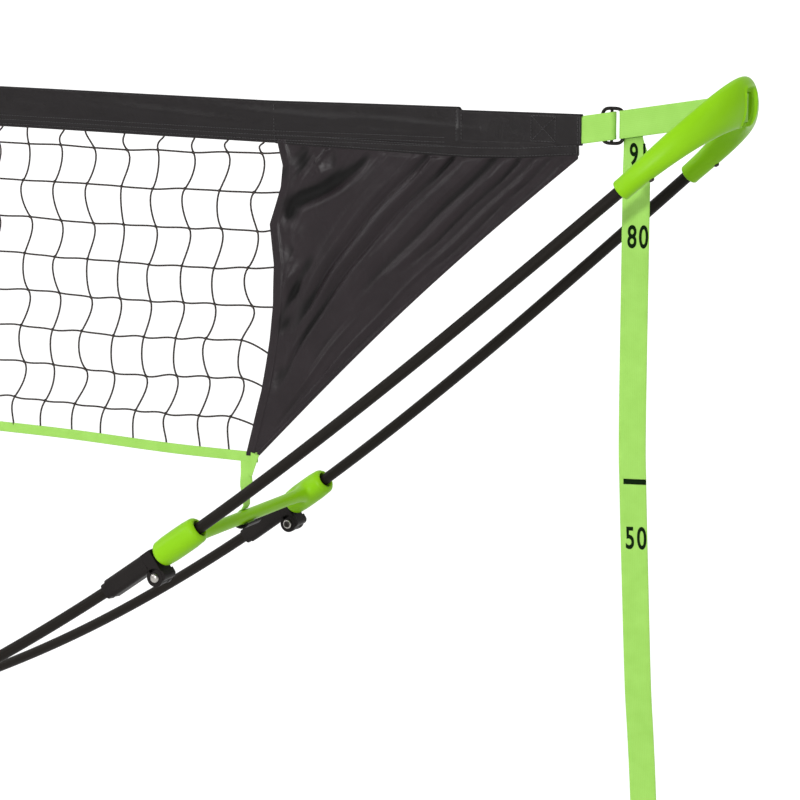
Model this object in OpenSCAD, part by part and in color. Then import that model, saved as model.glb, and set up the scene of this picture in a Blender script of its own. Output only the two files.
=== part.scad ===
// Portable net that stands by itself: two glass-fibre bows lean apart at the ground, and the hoods that
// join their tips stretch the net between them. Each end folds down on two hinges below its spreader.
// Millimetres, +Z up, X along the net, the net in the plane Y = 0, the origin on the ground at the middle.

/* [Bows] */
// Length of half a bow, from the middle of the base to the tip of its rod
bow_len = 1848; // [1600:1:2000]
// Slope of a rod at its tip, in degrees
tip_angle = 41.3; // [38:0.1:44]
// Lean of each bow out of upright, in degrees
bow_lean = 7; // [5:0.1:9]
// Half the distance between the rods at the middle of the base
base_half = 187; // [165:1:210]
// Height of the rods at the middle of the base
base_rise = 38; // [34:1:60]
// Diameter of a rod
rod_d = 12; // [10:0.1:13]
// Clearance round a rod in its sockets, on the radius
rod_fit = 0.2; // [0.15:0.01:0.3]
// Gap between the rods' ends at the middle of the base
rod_gap = 2; // [0.5:0.5:6]

/* [Base] */
// Length of a joiner's sleeve, along the rod
joiner_len = 180; // [120:1:240]
// Outer diameter of a joiner's sleeve
joiner_d = 22; // [20:0.5:30]
// Length of a joiner's foot
foot_len = 230; // [180:1:300]
// Width of a joiner's foot
foot_w = 48; // [40:1:60]
// Thickness of a joiner's foot plate
foot_t = 6; // [4:0.5:8]
// Thickness of the web between foot and sleeve
web_t = 8; // [5:0.5:12]
// Thickness of the rubber pad
pad_t = 4; // [3:0.5:6]
// Distance from the foot's edge to the pad's edge
pad_inset = 3; // [1:0.5:6]

/* [Hinges] */
// Distance of the hinge's butt face from the middle of the base, along the bow
hinge_at = 1172; // [1100:1:1230]
// Distance of the pin below the rod's axis
pin_drop = 17.5; // [17:0.1:20]
// Distance of the pin past the butt face
pin_fore = 2; // [1:0.1:3]
// Diameter of the pin
pin_d = 6; // [5:0.1:7]
// Clearance of the pin in the tongue, on the radius
pin_fit = 0.05; // [0.02:0.01:0.1]
// Radius of the ears round the pin
ear_r = 9.5; // [8.5:0.1:10.5]
// Length of a socket
socket_len = 62; // [56:1:70]
// Height of a socket
socket_h = 20; // [18:0.5:20]
// Width of a socket and of its ears
socket_w = 20; // [19:0.5:24]
// Depth of the rod in a socket
socket_grip = 50; // [40:1:52]
// Width of the tongue between the ears
tongue_w = 9; // [7:0.5:10]
// Gap that the folding pieces keep
fold_gap = 0.4; // [0.3:0.05:0.6]

/* [Spreaders] */
// Distance of a barrel's lower end from the butt face
barrel_at = 14; // [12:0.5:18]
// Length of a barrel
barrel_len = 58; // [52:1:64]
// Diameter of a barrel near its ends
barrel_d = 28; // [26:0.5:30]
// Bulge of a barrel at its middle, on the radius
barrel_bulge = 1.2; // [0.5:0.1:2]
// Rounding of a barrel's ends
barrel_round = 6; // [4:0.5:8]
// Diameter of the tongue's spigot in the barrel
spigot_d = 17; // [16:0.5:18]
// Length of that spigot
spigot_len = 44; // [38:1:48]
// Depth of the upper rod in the spigot
rod_grip = 34; // [28:1:36]
// Diameter of the bar between the barrels
bar_d = 14; // [12:0.5:17]
// Diameter of the bar where it meets a barrel
bar_root_d = 24; // [20:0.5:25]
// Length of the bar's flared root
bar_root_len = 52; // [40:1:60]

/* [Tip hoods] */
// Depth of a rod in its hood
hood_grip = 30; // [25:1:34]
// Length of a hood along its arms, from the mouths to the middle of the nose
hood_len = 114; // [108:1:124]
// Length of an arm's straight part
arm_len = 8; // [4:1:30]
// Diameter of an arm at its mouth
mouth_d = 21; // [19:0.5:23]
// Height of the nose
nose_h = 48; // [46:1:54]
// Thickness of the nose
nose_t = 19; // [16:0.5:21]
// Share of a hood's growth in height that rises above its arms' line
hood_rise = 0.35; // [0:0.05:0.6]
// Lean of the nose out of upright, towards the net, in degrees
nose_lean = 0; // [-6:0.5:6]
// Width of the strap's slot through the nose
slot_w = 23; // [20:0.5:26]
// Height of that slot
slot_h = 31; // [31:0.5:33]
// Drop of the slot's middle below the nose's
slot_drop = 6; // [3:0.5:6]
// Rounding of the slot's corners
slot_round = 5; // [3:0.5:7]
// Thickness of the strap bar in the slot
strap_bar = 5; // [4:0.5:6]
// Depth of the recess round the slot
recess = 2; // [1.5:0.1:2.5]
// Diameter of the screw that holds a rod in its arm
hood_screw_d = 5; // [4:0.5:6]

/* [Net] */
// Length of the net along its top band
net_len = 3000; // [2940:1:3040]
// Height of the band's top edge
net_top = 911; // [900:1:920]
// Height of the band
band_h = 44; // [40:1:50]
// Thickness of the band
band_t = 5.4; // [5:0.1:8]
// Height of the band's sewn ends
band_end_h = 31; // [29.6:0.1:34]
// Length of the band's sewn ends
band_end_len = 129; // [100:1:160]
// Height of the bottom tape's middle
net_bottom = 530; // [522:1:538]
// Half length of the mesh along the band
mesh_half_top = 1153; // [1120:1:1180]
// Half length of the mesh along the bottom tape
mesh_half_bottom = 1125; // [1118:1:1135]
// Gaps along the mesh
mesh_cols = 37; // [20:1:37]
// Gaps up the mesh
mesh_rows = 8; // [4:1:8]
// Thickness of the mesh's cord
cord_d = 2; // [1.5:0.1:3]
// Height of the bottom tape
tape_h = 11; // [9:0.5:13]
// Thickness of the bottom tape
tape_t = 1.6; // [1.2:0.1:2]
// Width of the tape that ties a corner down
tie_w = 12; // [10:0.5:14]
// Thickness of a wing's cloth
wing_t = 1.2; // [0.8:0.1:2]
// Depth of a wing's folds
wing_fold = 6; // [2:0.5:9]
// Width of a wing at its bottom corner
wing_foot = 7; // [6:0.5:12]
// Height of a wing's outer end
wing_end = 13; // [8:0.5:18]

/* [Straps] */
// Width of the webbing
strap_w = 27; // [25:0.5:27.5]
// Thickness of the webbing
strap_t = 1.6; // [1.2:0.1:1.8]
// Drop of the webbing's middle below the band's top edge
strap_drop = 18.5; // [17:0.5:20]
// Gap between the band's end and the buckle
buckle_at = 19.5; // [14:0.5:22]
// Length of the buckle along the webbing
buckle_len = 26; // [24:0.5:30]
// Height of the buckle
buckle_h = 35; // [34.5:0.5:40]
// Distance from the buckle's end to its middle bar
mid_bar_at = 12; // [10:0.5:14]
// Thickness of the buckle and of its bars
buckle_t = 3; // [2.5:0.1:3.4]
// Room between the webbing and what it goes round
strap_fit = 0.5; // [0.3:0.1:0.8]

/* [Hidden] */
$fn = 48;
fine = 0.01;                      // overlap of cutters past a face
front = -1;
rear = 1;

// A half bow is a row of arcs whose curvature falls evenly to nothing at the tip.
bow_arcs = 8;
arc_len = bow_len / bow_arcs;
function bend(i) = let (rest = 1 - i / bow_arcs) tip_angle * (1 - rest * rest);
function arc_r(i) = arc_len / (bend(i + 1) - bend(i)) * 180 / PI;
function chord(i, a, b) = arc_r(i) * [sin(b) - sin(a), cos(a) - cos(b)];
knots = [for (i = 0, p = [0, 0]; i <= bow_arcs;
              p = p + (i < bow_arcs ? chord(i, bend(i), bend(i + 1)) : [0, 0]), i = i + 1) p];
function arc_no(s) = min(floor(s / arc_len), bow_arcs - 1);
function slope(s) = let (i = arc_no(s)) bend(i) + (s - i * arc_len) / arc_r(i) * 180 / PI;
function bow(s) = let (i = arc_no(s)) knots[i] + chord(i, bend(i), slope(s));
function spot(s, side) = let (p = bow(s))
    [p.x, side * (base_half - p.y * sin(bow_lean)), base_rise + p.y * cos(bow_lean)];

// Hinges
hinge_slope = slope(hinge_at);
hinge_spot = spot(hinge_at, rear);
ear_gap = tongue_w + 2 * fold_gap;
tongue_r = ear_r - fold_gap;
lobe_low = 7.6;                   // depth of the tongue's lobe below the pin
seat_gap = 0.9;                   // gap between the tongue's upright block and the leaning barrel
lobe_end = barrel_at + 1;         // end of the lobe, below the barrel
head_t = 3;
head_d = 1.7 * pin_d;
nut_t = 2.5;

// Spreader
barrel_mid = hinge_at + barrel_at + barrel_len / 2;
bar_spot = spot(barrel_mid, rear);

// Tip hood: its path lies in a plane that rises as the rods do.
mouth_at = bow_len - hood_grip;
mouth = spot(mouth_at, rear);
tilt = atan2(cos(bow_lean) * sin(tip_angle), cos(tip_angle));
toe_in = asin(sin(bow_lean) * sin(tip_angle));
turn_at = arm_len * cos(toe_in);
turn_half = mouth.y - arm_len * sin(toe_in);
lip = 2;
nose = [mouth.x + hood_len * cos(tilt), 0, mouth.z + hood_len * sin(tilt)];
slot = nose + [0, 0, hood_rise * (nose_h - mouth_d) / 2 - slot_drop];
bar_face = nose_t / 2 - recess;

// Straps: the webbing runs straight from the band's end to the strap bar.
strap_z = net_top - strap_drop;
strap_rise = atan2(slot.z - strap_z, slot.x - net_len / 2);
hood_bar = slot.x - net_len / 2 + bar_face - strap_bar / 2;
mid_bar = buckle_at + mid_bar_at;
end_bar = buckle_at + buckle_len - buckle_t / 2;
loop_r = buckle_t / 2 * sqrt(2) + strap_fit;
// Middle of the hanging end, from the buckle to the ground, as [y, z]
tail_x = net_len / 2 + end_bar + 14;
tail_route = [[4, 892], [6, 850], [6, 610], [10, 540], [20, 440], [32, 330], [42, 270], [51, 210],
              [61, 120], [65, 12]];

// Net
band_low = net_top - band_h;
end_low = strap_z - band_end_h / 2;
end_high = strap_z + band_end_h / 2;
step_at = net_len / 2 - band_end_len;
step_len = 20;
tape_top = net_bottom + tape_h / 2;
wing_outer = net_len / 2 - 4;
tie_r = bar_d / 2 + strap_fit;
keeper_r = tie_r + tape_t + strap_fit;
keeper_len = 28;
keeper_t = 2;
keeper_span = 120;

green = [0.58, 0.86, 0.2];
lime_web = [0.6, 0.88, 0.4];
black = [0.13, 0.12, 0.12];
cloth = [0.17, 0.16, 0.17];
steel = [0.7, 0.7, 0.7];

module left() mirror([1, 0, 0]) children();

// Places

// The plane of one bow: X along the net, Z up the lean
module in_bow(side)
    translate([0, side * base_half, base_rise]) rotate([side * bow_lean, 0, 0]) children();

// On the rod at distance s: X along the rod to the tip, Z square to it
module at_bow(s, side)
    in_bow(side) translate([bow(s).x, 0, bow(s).y]) rotate([0, -slope(s), 0]) children();

// At the hinge's butt face, upright: X up the rod, Y along the pin
module at_hinge(side)
    translate([hinge_spot.x, side * hinge_spot.y, hinge_spot.z]) rotate([0, -hinge_slope, 0]) children();

// On the line of the pin in the hinge's frame, with Z along the pin to the outer side
module at_pin(side)
    at_hinge(side) translate([pin_fore, 0, -pin_drop]) rotate([side * -90, 0, 0]) children();

// On the spreader's bar, at the middle, turned as the barrels are
module at_bar()
    translate([bar_spot.x, 0, bar_spot.z]) rotate([0, -slope(barrel_mid), 0]) children();

// On the line of the webbing, at distance x along the net from the band's end
module at_strap(x) translate([net_len / 2 + x, 0, strap_z + x * tan(strap_rise)]) children();

// A closed skin over a row of rings with equal counts of points. A strip's rings are two rows, there and
// back, and its ends are closed from row to row.
module skin(rings, strip = false) {
    n = len(rings[0]);
    last = (len(rings) - 1) * n;
    cap = strip
        ? [for (j = [0 : n / 2 - 2], up = [0, 1]) up ? [j, n - 2 - j, n - 1 - j] : [j, j + 1, n - 2 - j]]
        : [[for (j = [0 : n - 1]) j]];
    polyhedron(
        points = [for (r = rings, p = r) p],
        faces = concat(
            cap,
            [for (f = cap) [for (j = [len(f) - 1 : -1 : 0]) last + f[j]]],
            [for (i = [0 : n : last - n], j = [0 : n - 1]) [i + j, i + n + j, i + (j + 1) % n]],
            [for (i = [0 : n : last - n], j = [0 : n - 1])
                [i + (j + 1) % n, i + n + j, i + n + (j + 1) % n]]));
}

// Bows

// One ring of a rod's skin, square to the bow at distance s
rod_sides = 12;
function rod_ring(s, side) =
    let (a = slope(s), tilted = side * bow_lean)
    let (across = [0, cos(tilted), sin(tilted)])
    let (up = [-sin(a), -sin(tilted) * cos(a), cos(tilted) * cos(a)])
    [for (i = [0 : rod_sides - 1]) let (t = 360 * i / rod_sides)
        spot(s, side) + rod_d / 2 * (across * cos(t) + up * sin(t))];

// A rod bent along the bow between two distances from the middle
module bent_rod(from, to, side) {
    steps = ceil((to - from) / 50);
    color(black) skin([for (i = [0 : steps]) rod_ring(from + (to - from) * i / steps, side)]);
}

module lower_rod(side) bent_rod(rod_gap / 2, hinge_at - socket_len + socket_grip, side);

module upper_rod(side) bent_rod(hinge_at + barrel_at + spigot_len - rod_grip, bow_len, side);

// The middle of a bow, which is one arc
module base_arc(len, d) {
    half = len / 2 / arc_r(0) * 180 / PI;
    translate([0, 0, arc_r(0)]) rotate([90, 0, 0]) rotate([0, 0, -90 - half])
        rotate_extrude(angle = 2 * half, $fn = 360) translate([arc_r(0), 0]) circle(d = d);
}

// Base

module foot_outline(inset)
    for (x = [-1, 1])
        union() {
            translate([x * (foot_len - foot_w) / 2, 0]) circle(d = foot_w - 2 * inset);
            square([foot_len - foot_w, foot_w - 2 * inset], center = true);
        }

// A sleeve round the two rods' ends, on a web and a flat foot
module base_joiner(side) color(black) difference() {
    union() {
        in_bow(side) base_arc(joiner_len, joiner_d);
        translate([0, side * base_half, pad_t]) {
            linear_extrude(foot_t) foot_outline(0);
            linear_extrude(base_rise - pad_t) square([foot_len - foot_w, web_t], center = true);
        }
    }
    in_bow(side) base_arc(2 * joiner_len, rod_d + 2 * rod_fit);
}

module foot_pad(side)
    color(black) translate([0, side * base_half, 0]) linear_extrude(pad_t) foot_outline(pad_inset);

// Hinges

// A sleeve for the lower rod's end, with two ears that hold the pin below it
module hinge_socket(side) color(black) difference() {
    union() {
        at_bow(hinge_at, side) socket_sleeve();
        at_hinge(side) rotate([90, 0, 0]) translate([pin_fore, -pin_drop])
            linear_extrude(socket_w, center = true) circle(ear_r);
    }
    at_hinge(side) {
        translate([0, -socket_w, -socket_h / 2 - 1]) cube([ear_r, 2 * socket_w, 2 * socket_h]);
        translate([-tongue_r - fold_gap + pin_fore, -ear_gap / 2, -2 * pin_drop])
            cube([3 * ear_r, ear_gap, 2 * pin_drop - socket_h / 2]);
    }
    at_pin(side) {
        cylinder(r = tongue_r + fold_gap, h = ear_gap, center = true);
        cylinder(d = pin_d, h = 2 * socket_w, center = true);
    }
    at_bow(hinge_at - socket_len + socket_grip / 2, side) rotate([0, 90, 0])
        cylinder(d = rod_d + 2 * rod_fit, h = socket_grip + 2, center = true);
}

// The sleeve's body steps down to a collar where the rod comes out.
module socket_sleeve() {
    collar = 7;
    step = 1.5;
    translate([-socket_len + collar, 0, 0]) rotate([90, 0, 90])
        linear_extrude(socket_len - collar + 2) round_box(socket_w, socket_h, 5);
    translate([-socket_len, 0, 0]) rotate([90, 0, 90])
        linear_extrude(collar + fine) round_box(socket_w - 2 * step, socket_h - 2 * step, 5);
}

module round_box(w, h, r) {
    square([w - 2 * r, h], center = true);
    square([w, h - 2 * r], center = true);
    for (x = [-1, 1], y = [-1, 1]) translate([x * (w / 2 - r), y * (h / 2 - r)]) circle(r);
}

// The folding half: a block that butts on the socket, its tongue round the pin and a spigot for the barrel
module hinge_tongue(side) color(black) difference() {
    union() {
        at_hinge(side) rotate([90, 0, 0]) linear_extrude(socket_w, center = true) tongue_side();
        at_bow(hinge_at, side) translate([barrel_at - 2, 0, 0]) rotate([0, 90, 0])
            cylinder(d = spigot_d, h = spigot_len + 2);
    }
    at_pin(side) {
        for (z = [-1, 1]) translate([0, 0, z * (tongue_w / 2 + socket_w)])
            cylinder(r = ear_r + fold_gap, h = 2 * socket_w, center = true);
        cylinder(d = pin_d + 2 * pin_fit, h = 2 * socket_w, center = true);
    }
    at_bow(hinge_at + barrel_at + spigot_len - rod_grip / 2, side) rotate([0, 90, 0])
        cylinder(d = rod_d + 2 * rod_fit, h = rod_grip + 2, center = true);
}

// Side view: the block, and a lobe from the pin to below the barrel
module tongue_side() {
    low = pin_drop + lobe_low;
    high = barrel_d / 2 + barrel_bulge + fold_gap;
    round = 5;
    translate([fold_gap / 2, -high]) square([barrel_at - seat_gap - fold_gap / 2, high + socket_h / 2]);
    translate([pin_fore, -pin_drop]) circle(tongue_r);
    translate([pin_fore, -low]) square([lobe_end - pin_fore - round, low - high]);
    translate([pin_fore, -low + round]) square([lobe_end - pin_fore, low - high - round]);
    translate([lobe_end - round, -low + round]) circle(round);
}

// Round head outside, a neck for the nut inside
module hinge_pins() color(steel)
    for (side = [front, rear]) at_pin(side) {
        translate([0, 0, -socket_w / 2 - nut_t]) cylinder(d = pin_d, h = socket_w + nut_t);
        translate([0, 0, socket_w / 2]) intersection() {
            cylinder(d = head_d, h = head_t);
            translate([0, 0, head_t - head_d]) sphere(head_d);
        }
    }

module hinge_nuts() color(steel)
    for (side = [front, rear]) at_pin(side) translate([0, 0, -socket_w / 2 - nut_t])
        difference() {
            cylinder(d = head_d, h = nut_t);
            translate([0, 0, -fine]) cylinder(d = pin_d + 0.02, h = nut_t + 2 * fine);
        }

// Spreaders

// Two barrels on the tongues' spigots, joined by a bar that flares into them
module spreader() color(green) difference() {
    union() {
        for (side = [front, rear]) at_bow(hinge_at + barrel_at, side) rotate([0, 90, 0]) barrel();
        at_bar() rotate([90, 0, 0]) for (m = [0, 1]) mirror([0, 0, m]) bar_half();
    }
    for (side = [front, rear]) at_bow(hinge_at + barrel_at, side) translate([-1, 0, 0]) rotate([0, 90, 0])
        cylinder(d = spigot_d + 2 * rod_fit, h = barrel_len + 2);
}

// A turned barrel: its side bulges, and its ends are rounded.
module barrel() {
    r = barrel_d / 2;
    half = barrel_len / 2 - barrel_round;
    bulge_r = (half * half + barrel_bulge * barrel_bulge) / (2 * barrel_bulge);
    lap = 0.15;                   // so that the rounding and the bulge cross
    rotate_extrude() {
        square([r - barrel_round + lap, barrel_len]);
        for (z = [barrel_round, barrel_len - barrel_round]) translate([r - barrel_round + lap, z])
            circle(barrel_round);
        intersection() {
            translate([0, barrel_round]) square([2 * r, 2 * half]);
            translate([r + barrel_bulge - bulge_r, barrel_len / 2]) circle(bulge_r, $fn = 360);
        }
    }
}

// Half of the bar, with its root drawn out in a hollow curve
module bar_half() {
    rise = (bar_root_d - bar_d) / 2;
    root_r = (bar_root_len * bar_root_len + rise * rise) / (2 * rise);
    half = bar_spot.y;
    rotate_extrude() {
        square([bar_d / 2, half]);
        difference() {
            translate([0, half - bar_root_len]) square([bar_root_d / 2, bar_root_len]);
            translate([bar_d / 2 + root_r, half - bar_root_len]) circle(root_r, $fn = 360);
        }
    }
}

// Tip hoods

// The hood's middle line from the front mouth round the nose to the rear mouth, as [along, across, turn]
turn_steps = 22;
arm_steps = [0, 0.04, 0.3, 0.65];
hood_path = concat(
    [for (t = arm_steps) [t * turn_at, -mouth.y + t * arm_len * sin(toe_in), 0]],
    [for (i = [0 : turn_steps]) let (a = 180 * i / turn_steps)
        [turn_at + (hood_len - turn_at) * sin(a), -turn_half * cos(a), a]],
    [for (i = [len(arm_steps) - 1 : -1 : 0]) let (t = arm_steps[i])
        [t * turn_at, mouth.y - t * arm_len * sin(toe_in), 180]]);

function ease(t) = let (c = min(max(t, 0), 1)) c * c * (3 - 2 * c);
function hood_heading(p) =
    let (along = (hood_len - turn_at) * cos(p[2]), across = turn_half * sin(p[2]))
    let (flat = p[2] == 0 || p[2] == 180 ? [cos(p[2]) * cos(toe_in), sin(toe_in)] : [along, across])
    let (unit = flat / norm(flat)) [unit.x * cos(tilt), unit.y, unit.x * sin(tilt)];

// One ring of the hood's skin: an oval that grows tall and thin from the mouth to the nose
ring_points = 28;
function hood_ring(p) =
    let (grow = p.x / hood_len, turned = (p.x - turn_at) / (hood_len - turn_at))
    let (lean = tilt + (nose_lean - tilt) * ease(turned))
    let (up = [-sin(lean), 0, cos(lean)], out = cross(up, hood_heading(p)))
    let (lip_in = p.x < fine ? lip : 0)
    let (half_h = (mouth_d + (nose_h - mouth_d) * grow * grow) / 2 - lip_in)
    let (half_t = (mouth_d + (nose_t - mouth_d) * grow) / 2 - lip_in)
    let (middle = [mouth.x + p.x * cos(tilt), p.y, mouth.z + p.x * sin(tilt)]
         + up * hood_rise * (nose_h - mouth_d) / 2 * grow * grow)
    [for (i = [0 : ring_points - 1]) let (a = 360 * i / ring_points)
        middle + out / norm(out) * half_t * cos(a) + up * half_h * sin(a)];

// A moulded wishbone: two arms on the rods' tips swell into a tall nose, and a bar in its slot holds the
// strap.
module tip_hood() color(green) {
    difference() {
        skin([for (p = hood_path) hood_ring(p)]);
        for (side = [front, rear]) {
            at_bow(mouth_at + hood_grip / 2, side) rotate([0, 90, 0])
                cylinder(d = rod_d + 2 * rod_fit, h = hood_grip + 2, center = true);
            at_hood_screw(side) cylinder(d = hood_screw_d, h = mouth_d);
        }
        translate(slot) rotate([90, 0, 90]) {
            linear_extrude(4 * nose_t, center = true) round_box(slot_w, slot_h, slot_round);
            for (end = [0, 1]) mirror([0, 0, end]) translate([0, 0, nose_t / 2 - recess])
                linear_extrude(nose_t)
                    round_box(slot_w + 2 * recess, slot_h + 2 * recess, slot_round + recess);
        }
    }
    translate(slot) linear_extrude(slot_h + 4, center = true) {
        square([2 * bar_face - strap_bar, strap_bar], center = true);
        for (x = [-1, 1]) translate([x * (bar_face - strap_bar / 2), 0]) circle(d = strap_bar);
    }
}

// Under an arm, square to the rod, Z down to the outside
module at_hood_screw(side)
    at_bow(bow_len - hood_grip / 3, side) rotate([180, 0, 0]) translate([0, 0, rod_d / 2]) children();

module hood_screws() color(black)
    for (side = [front, rear]) at_hood_screw(side) translate([0, 0, rod_fit])
        cylinder(d = hood_screw_d - 0.1, h = (mouth_d - rod_d) / 2 - 1);

// Straps and buckles

// Plan of a slack ring round two upright bars, and the same as an edge of rising webbing
function loop_plan(x0, r0, x1, r1) = concat(
    [for (a = [-90 : 15 : 90]) [x1 + r1 * cos(a), r1 * sin(a)]],
    [for (a = [90 : 15 : 270]) [x0 + r0 * cos(a), r0 * sin(a)]]);
function strap_edge(plan, z) =
    [for (p = plan) [net_len / 2 + p.x, p.y, strap_z + p.x * tan(strap_rise) + z]];

// A loop of webbing round two upright bars, whose rounds leave room of r0 and r1 inside
module strap_loop(x0, r0, x1, r1) {
    outer = loop_plan(x0, r0 + strap_t, x1, r1 + strap_t);
    inner = loop_plan(x0, r0, x1, r1);
    difference() {
        skin([for (z = [-1, 1]) strap_edge(outer, z * strap_w / 2)]);
        skin([for (z = [-1, 1]) strap_edge(inner, z * strap_w)]);
    }
}

// Three bars between two rails
module buckle() color(black) at_strap(buckle_at + buckle_len / 2) rotate([90, 0, 0])
    linear_extrude(buckle_t, center = true) difference() {
        round_box(buckle_len, buckle_h, 3);
        for (span = [[buckle_at + buckle_t, mid_bar - buckle_t / 2],
                     [mid_bar + buckle_t / 2, end_bar - buckle_t / 2]])
            translate([(span[0] + span[1]) / 2 - buckle_at - buckle_len / 2, 0])
                square([span[1] - span[0], strap_w + 4], center = true);
    }

// The strap from the buckle round the hood's bar and back, and its end hanging to the ground
module adjusting_strap() color(lime_web) {
    strap_loop(end_bar, loop_r, hood_bar, strap_bar / 2 + strap_fit);
    n = len(tail_route);
    half = [strap_t / 2, 0];
    translate([tail_x - strap_w / 2, 0, 0]) rotate([90, 0, 90]) linear_extrude(strap_w)
        polygon(concat([for (p = tail_route) p + half], [for (i = [n - 1 : -1 : 0]) tail_route[i] - half]));
}

// The webbing through the band, looped round the middle bar of both buckles
module top_webbing() color(lime_web) {
    translate([0, 0, strap_z]) cube([net_len, 2 * strap_t, strap_w], center = true);
    for (m = [0, 1]) mirror([m, 0, 0]) strap_loop(0, 0.05, mid_bar, loop_r);
}

// Net

// Right half of the band's outline: its sewn end is lower than the rest.
band_half = [[step_at - step_len, band_low], [step_at, end_low], [net_len / 2, end_low],
             [net_len / 2, end_high], [step_at, end_high], [step_at - step_len, net_top]];

// A sleeve of cloth round the top webbing
module top_band() color(cloth) difference() {
    rotate([90, 0, 0]) linear_extrude(band_t, center = true)
        polygon(concat(band_half,
                       [for (i = [len(band_half) - 1 : -1 : 0]) [-band_half[i].x, band_half[i].y]]));
    translate([0, 0, strap_z]) cube([2 * net_len, 2 * strap_t + 0.2, strap_w + 1], center = true);
}

// Knotted cord between the band, the wings and the bottom tape
module net_mesh() color(black) rotate([90, 0, 0]) linear_extrude(cord_d, center = true)
    difference() {
        polygon([[-mesh_half_top, band_low], [mesh_half_top, band_low],
                 [mesh_half_bottom, tape_top], [-mesh_half_bottom, tape_top]]);
        for (row = [0 : mesh_rows - 1], col = [0 : mesh_cols - 1]) mesh_gap(row, col);
    }

module mesh_gap(row, col) {
    polygon([mesh_point(row, col) + [cord_d, cord_d] / 2, mesh_point(row, col + 1) + [-cord_d, cord_d] / 2,
             mesh_point(row + 1, col + 1) - [cord_d, cord_d] / 2,
             mesh_point(row + 1, col) + [cord_d, -cord_d] / 2]);
}

function mesh_point(row, col) =
    let (up = row / mesh_rows, half = mesh_half_bottom + (mesh_half_top - mesh_half_bottom) * up)
    [half * (2 * col / mesh_cols - 1), tape_top + (band_low - tape_top) * up];

module bottom_tape() color(lime_web) translate([0, 0, net_bottom])
    cube([2 * (mesh_half_bottom + wing_foot), tape_t, tape_h], center = true);

// A wing of cloth between mesh and band, drawn to its bottom corner, with folds along its slanting edge
wing_cells = 14;
wing_rows = 16;
wing_split = 0.04;
function band_low_at(x) =
    x < step_at - step_len ? band_low :
    x > step_at ? end_low : band_low + (end_low - band_low) * (x - step_at + step_len) / step_len;
function wing_inner(v) = [mesh_half_top, band_low] * (1 - v) + [mesh_half_bottom, tape_top] * v;
function wing_edge(v) = v < wing_split
    ? [wing_outer, end_low - wing_end * v / wing_split]
    : let (t = (v - wing_split) / (1 - wing_split))
        [wing_outer, end_low - wing_end] * (1 - t) + [mesh_half_bottom + wing_foot, tape_top] * t;
wing_us = concat([for (i = [0 : 8]) i / 8 * (step_at - step_len - mesh_half_top)],
                 [for (i = [0 : wing_cells - 9]) step_at - mesh_half_top
                  + i / (wing_cells - 9) * (wing_outer - step_at)]) / (wing_outer - mesh_half_top);
wing_vs = concat([0], [for (i = [0 : wing_rows - 1]) wing_split + (1 - wing_split) * i / (wing_rows - 1)]);
function wing_point(u, v, face) =
    let (a = wing_inner(v), b = wing_edge(v), p = a + (b - a) * u)
    let (x_top = mesh_half_top + u * (wing_outer - mesh_half_top))
    let (line = band_low + (end_low - band_low) * u, lift = (band_low_at(x_top) - line) * (1 - v))
    let (calm = sqrt(16 * u * (1 - u) * v * (1 - v)))
    let (fold = wing_fold * calm * (sin(1080 * u + 150 * v) + 0.4 * sin(700 * u - 420 * v)) / 1.4)
    [p.x, fold + face * wing_t / 2, p.y + lift];

module wing() color(cloth)
    skin([for (v = wing_vs) concat([for (u = wing_us) wing_point(u, v, 1)],
                                   [for (i = [len(wing_us) - 1 : -1 : 0]) wing_point(wing_us[i], v, -1)])],
         strip = true);

// A tape from the net's bottom corner down to the spreader's bar and round it
module corner_tie() color(lime_web) {
    translate([0, tie_w / 2, 0]) rotate([90, 0, 0]) linear_extrude(tie_w) difference() {
        union() {
            translate([bar_spot.x, bar_spot.z]) circle(tie_r + tape_t);
            translate([bar_spot.x, bar_spot.z]) translate([-tape_t / 2, 0])
                square([tape_t, net_bottom - tape_h / 2 - bar_spot.z]);
        }
        translate([bar_spot.x, bar_spot.z]) circle(tie_r);
    }
}

// A clip below the bar that holds the tape on it
module tie_keeper() color(black)
    translate([bar_spot.x, 0, bar_spot.z]) rotate([90, 0, 0]) rotate([0, 0, -90 - keeper_span / 2])
        rotate_extrude(angle = keeper_span) translate([keeper_r, -keeper_len / 2])
            square([keeper_t, keeper_len]);

base_joiner(front);  // base_joiner_front
base_joiner(rear);  // base_joiner_rear
foot_pad(front);  // foot_pad_front
foot_pad(rear);  // foot_pad_rear
left() lower_rod(front);  // lower_rod_front_left
lower_rod(front);  // lower_rod_front_right
left() lower_rod(rear);  // lower_rod_rear_left
lower_rod(rear);  // lower_rod_rear_right
left() hinge_socket(front);  // hinge_socket_front_left
hinge_socket(front);  // hinge_socket_front_right
left() hinge_socket(rear);  // hinge_socket_rear_left
hinge_socket(rear);  // hinge_socket_rear_right
left() hinge_pins();  // hinge_pins_left
hinge_pins();  // hinge_pins_right
left() hinge_nuts();  // hinge_nuts_left
hinge_nuts();  // hinge_nuts_right
left() hinge_tongue(front);  // hinge_tongue_front_left
hinge_tongue(front);  // hinge_tongue_front_right
left() hinge_tongue(rear);  // hinge_tongue_rear_left
hinge_tongue(rear);  // hinge_tongue_rear_right
left() spreader();  // spreader_left
spreader();  // spreader_right
left() upper_rod(front);  // upper_rod_front_left
upper_rod(front);  // upper_rod_front_right
left() upper_rod(rear);  // upper_rod_rear_left
upper_rod(rear);  // upper_rod_rear_right
left() tip_hood();  // tip_hood_left
tip_hood();  // tip_hood_right
left() hood_screws();  // hood_screws_left
hood_screws();  // hood_screws_right
net_mesh();
top_band();
top_webbing();
left() wing();  // wing_left
wing();  // wing_right
bottom_tape();
left() corner_tie();  // corner_tie_left
corner_tie();  // corner_tie_right
left() tie_keeper();  // tie_keeper_left
tie_keeper();  // tie_keeper_right
left() buckle();  // buckle_left
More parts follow.
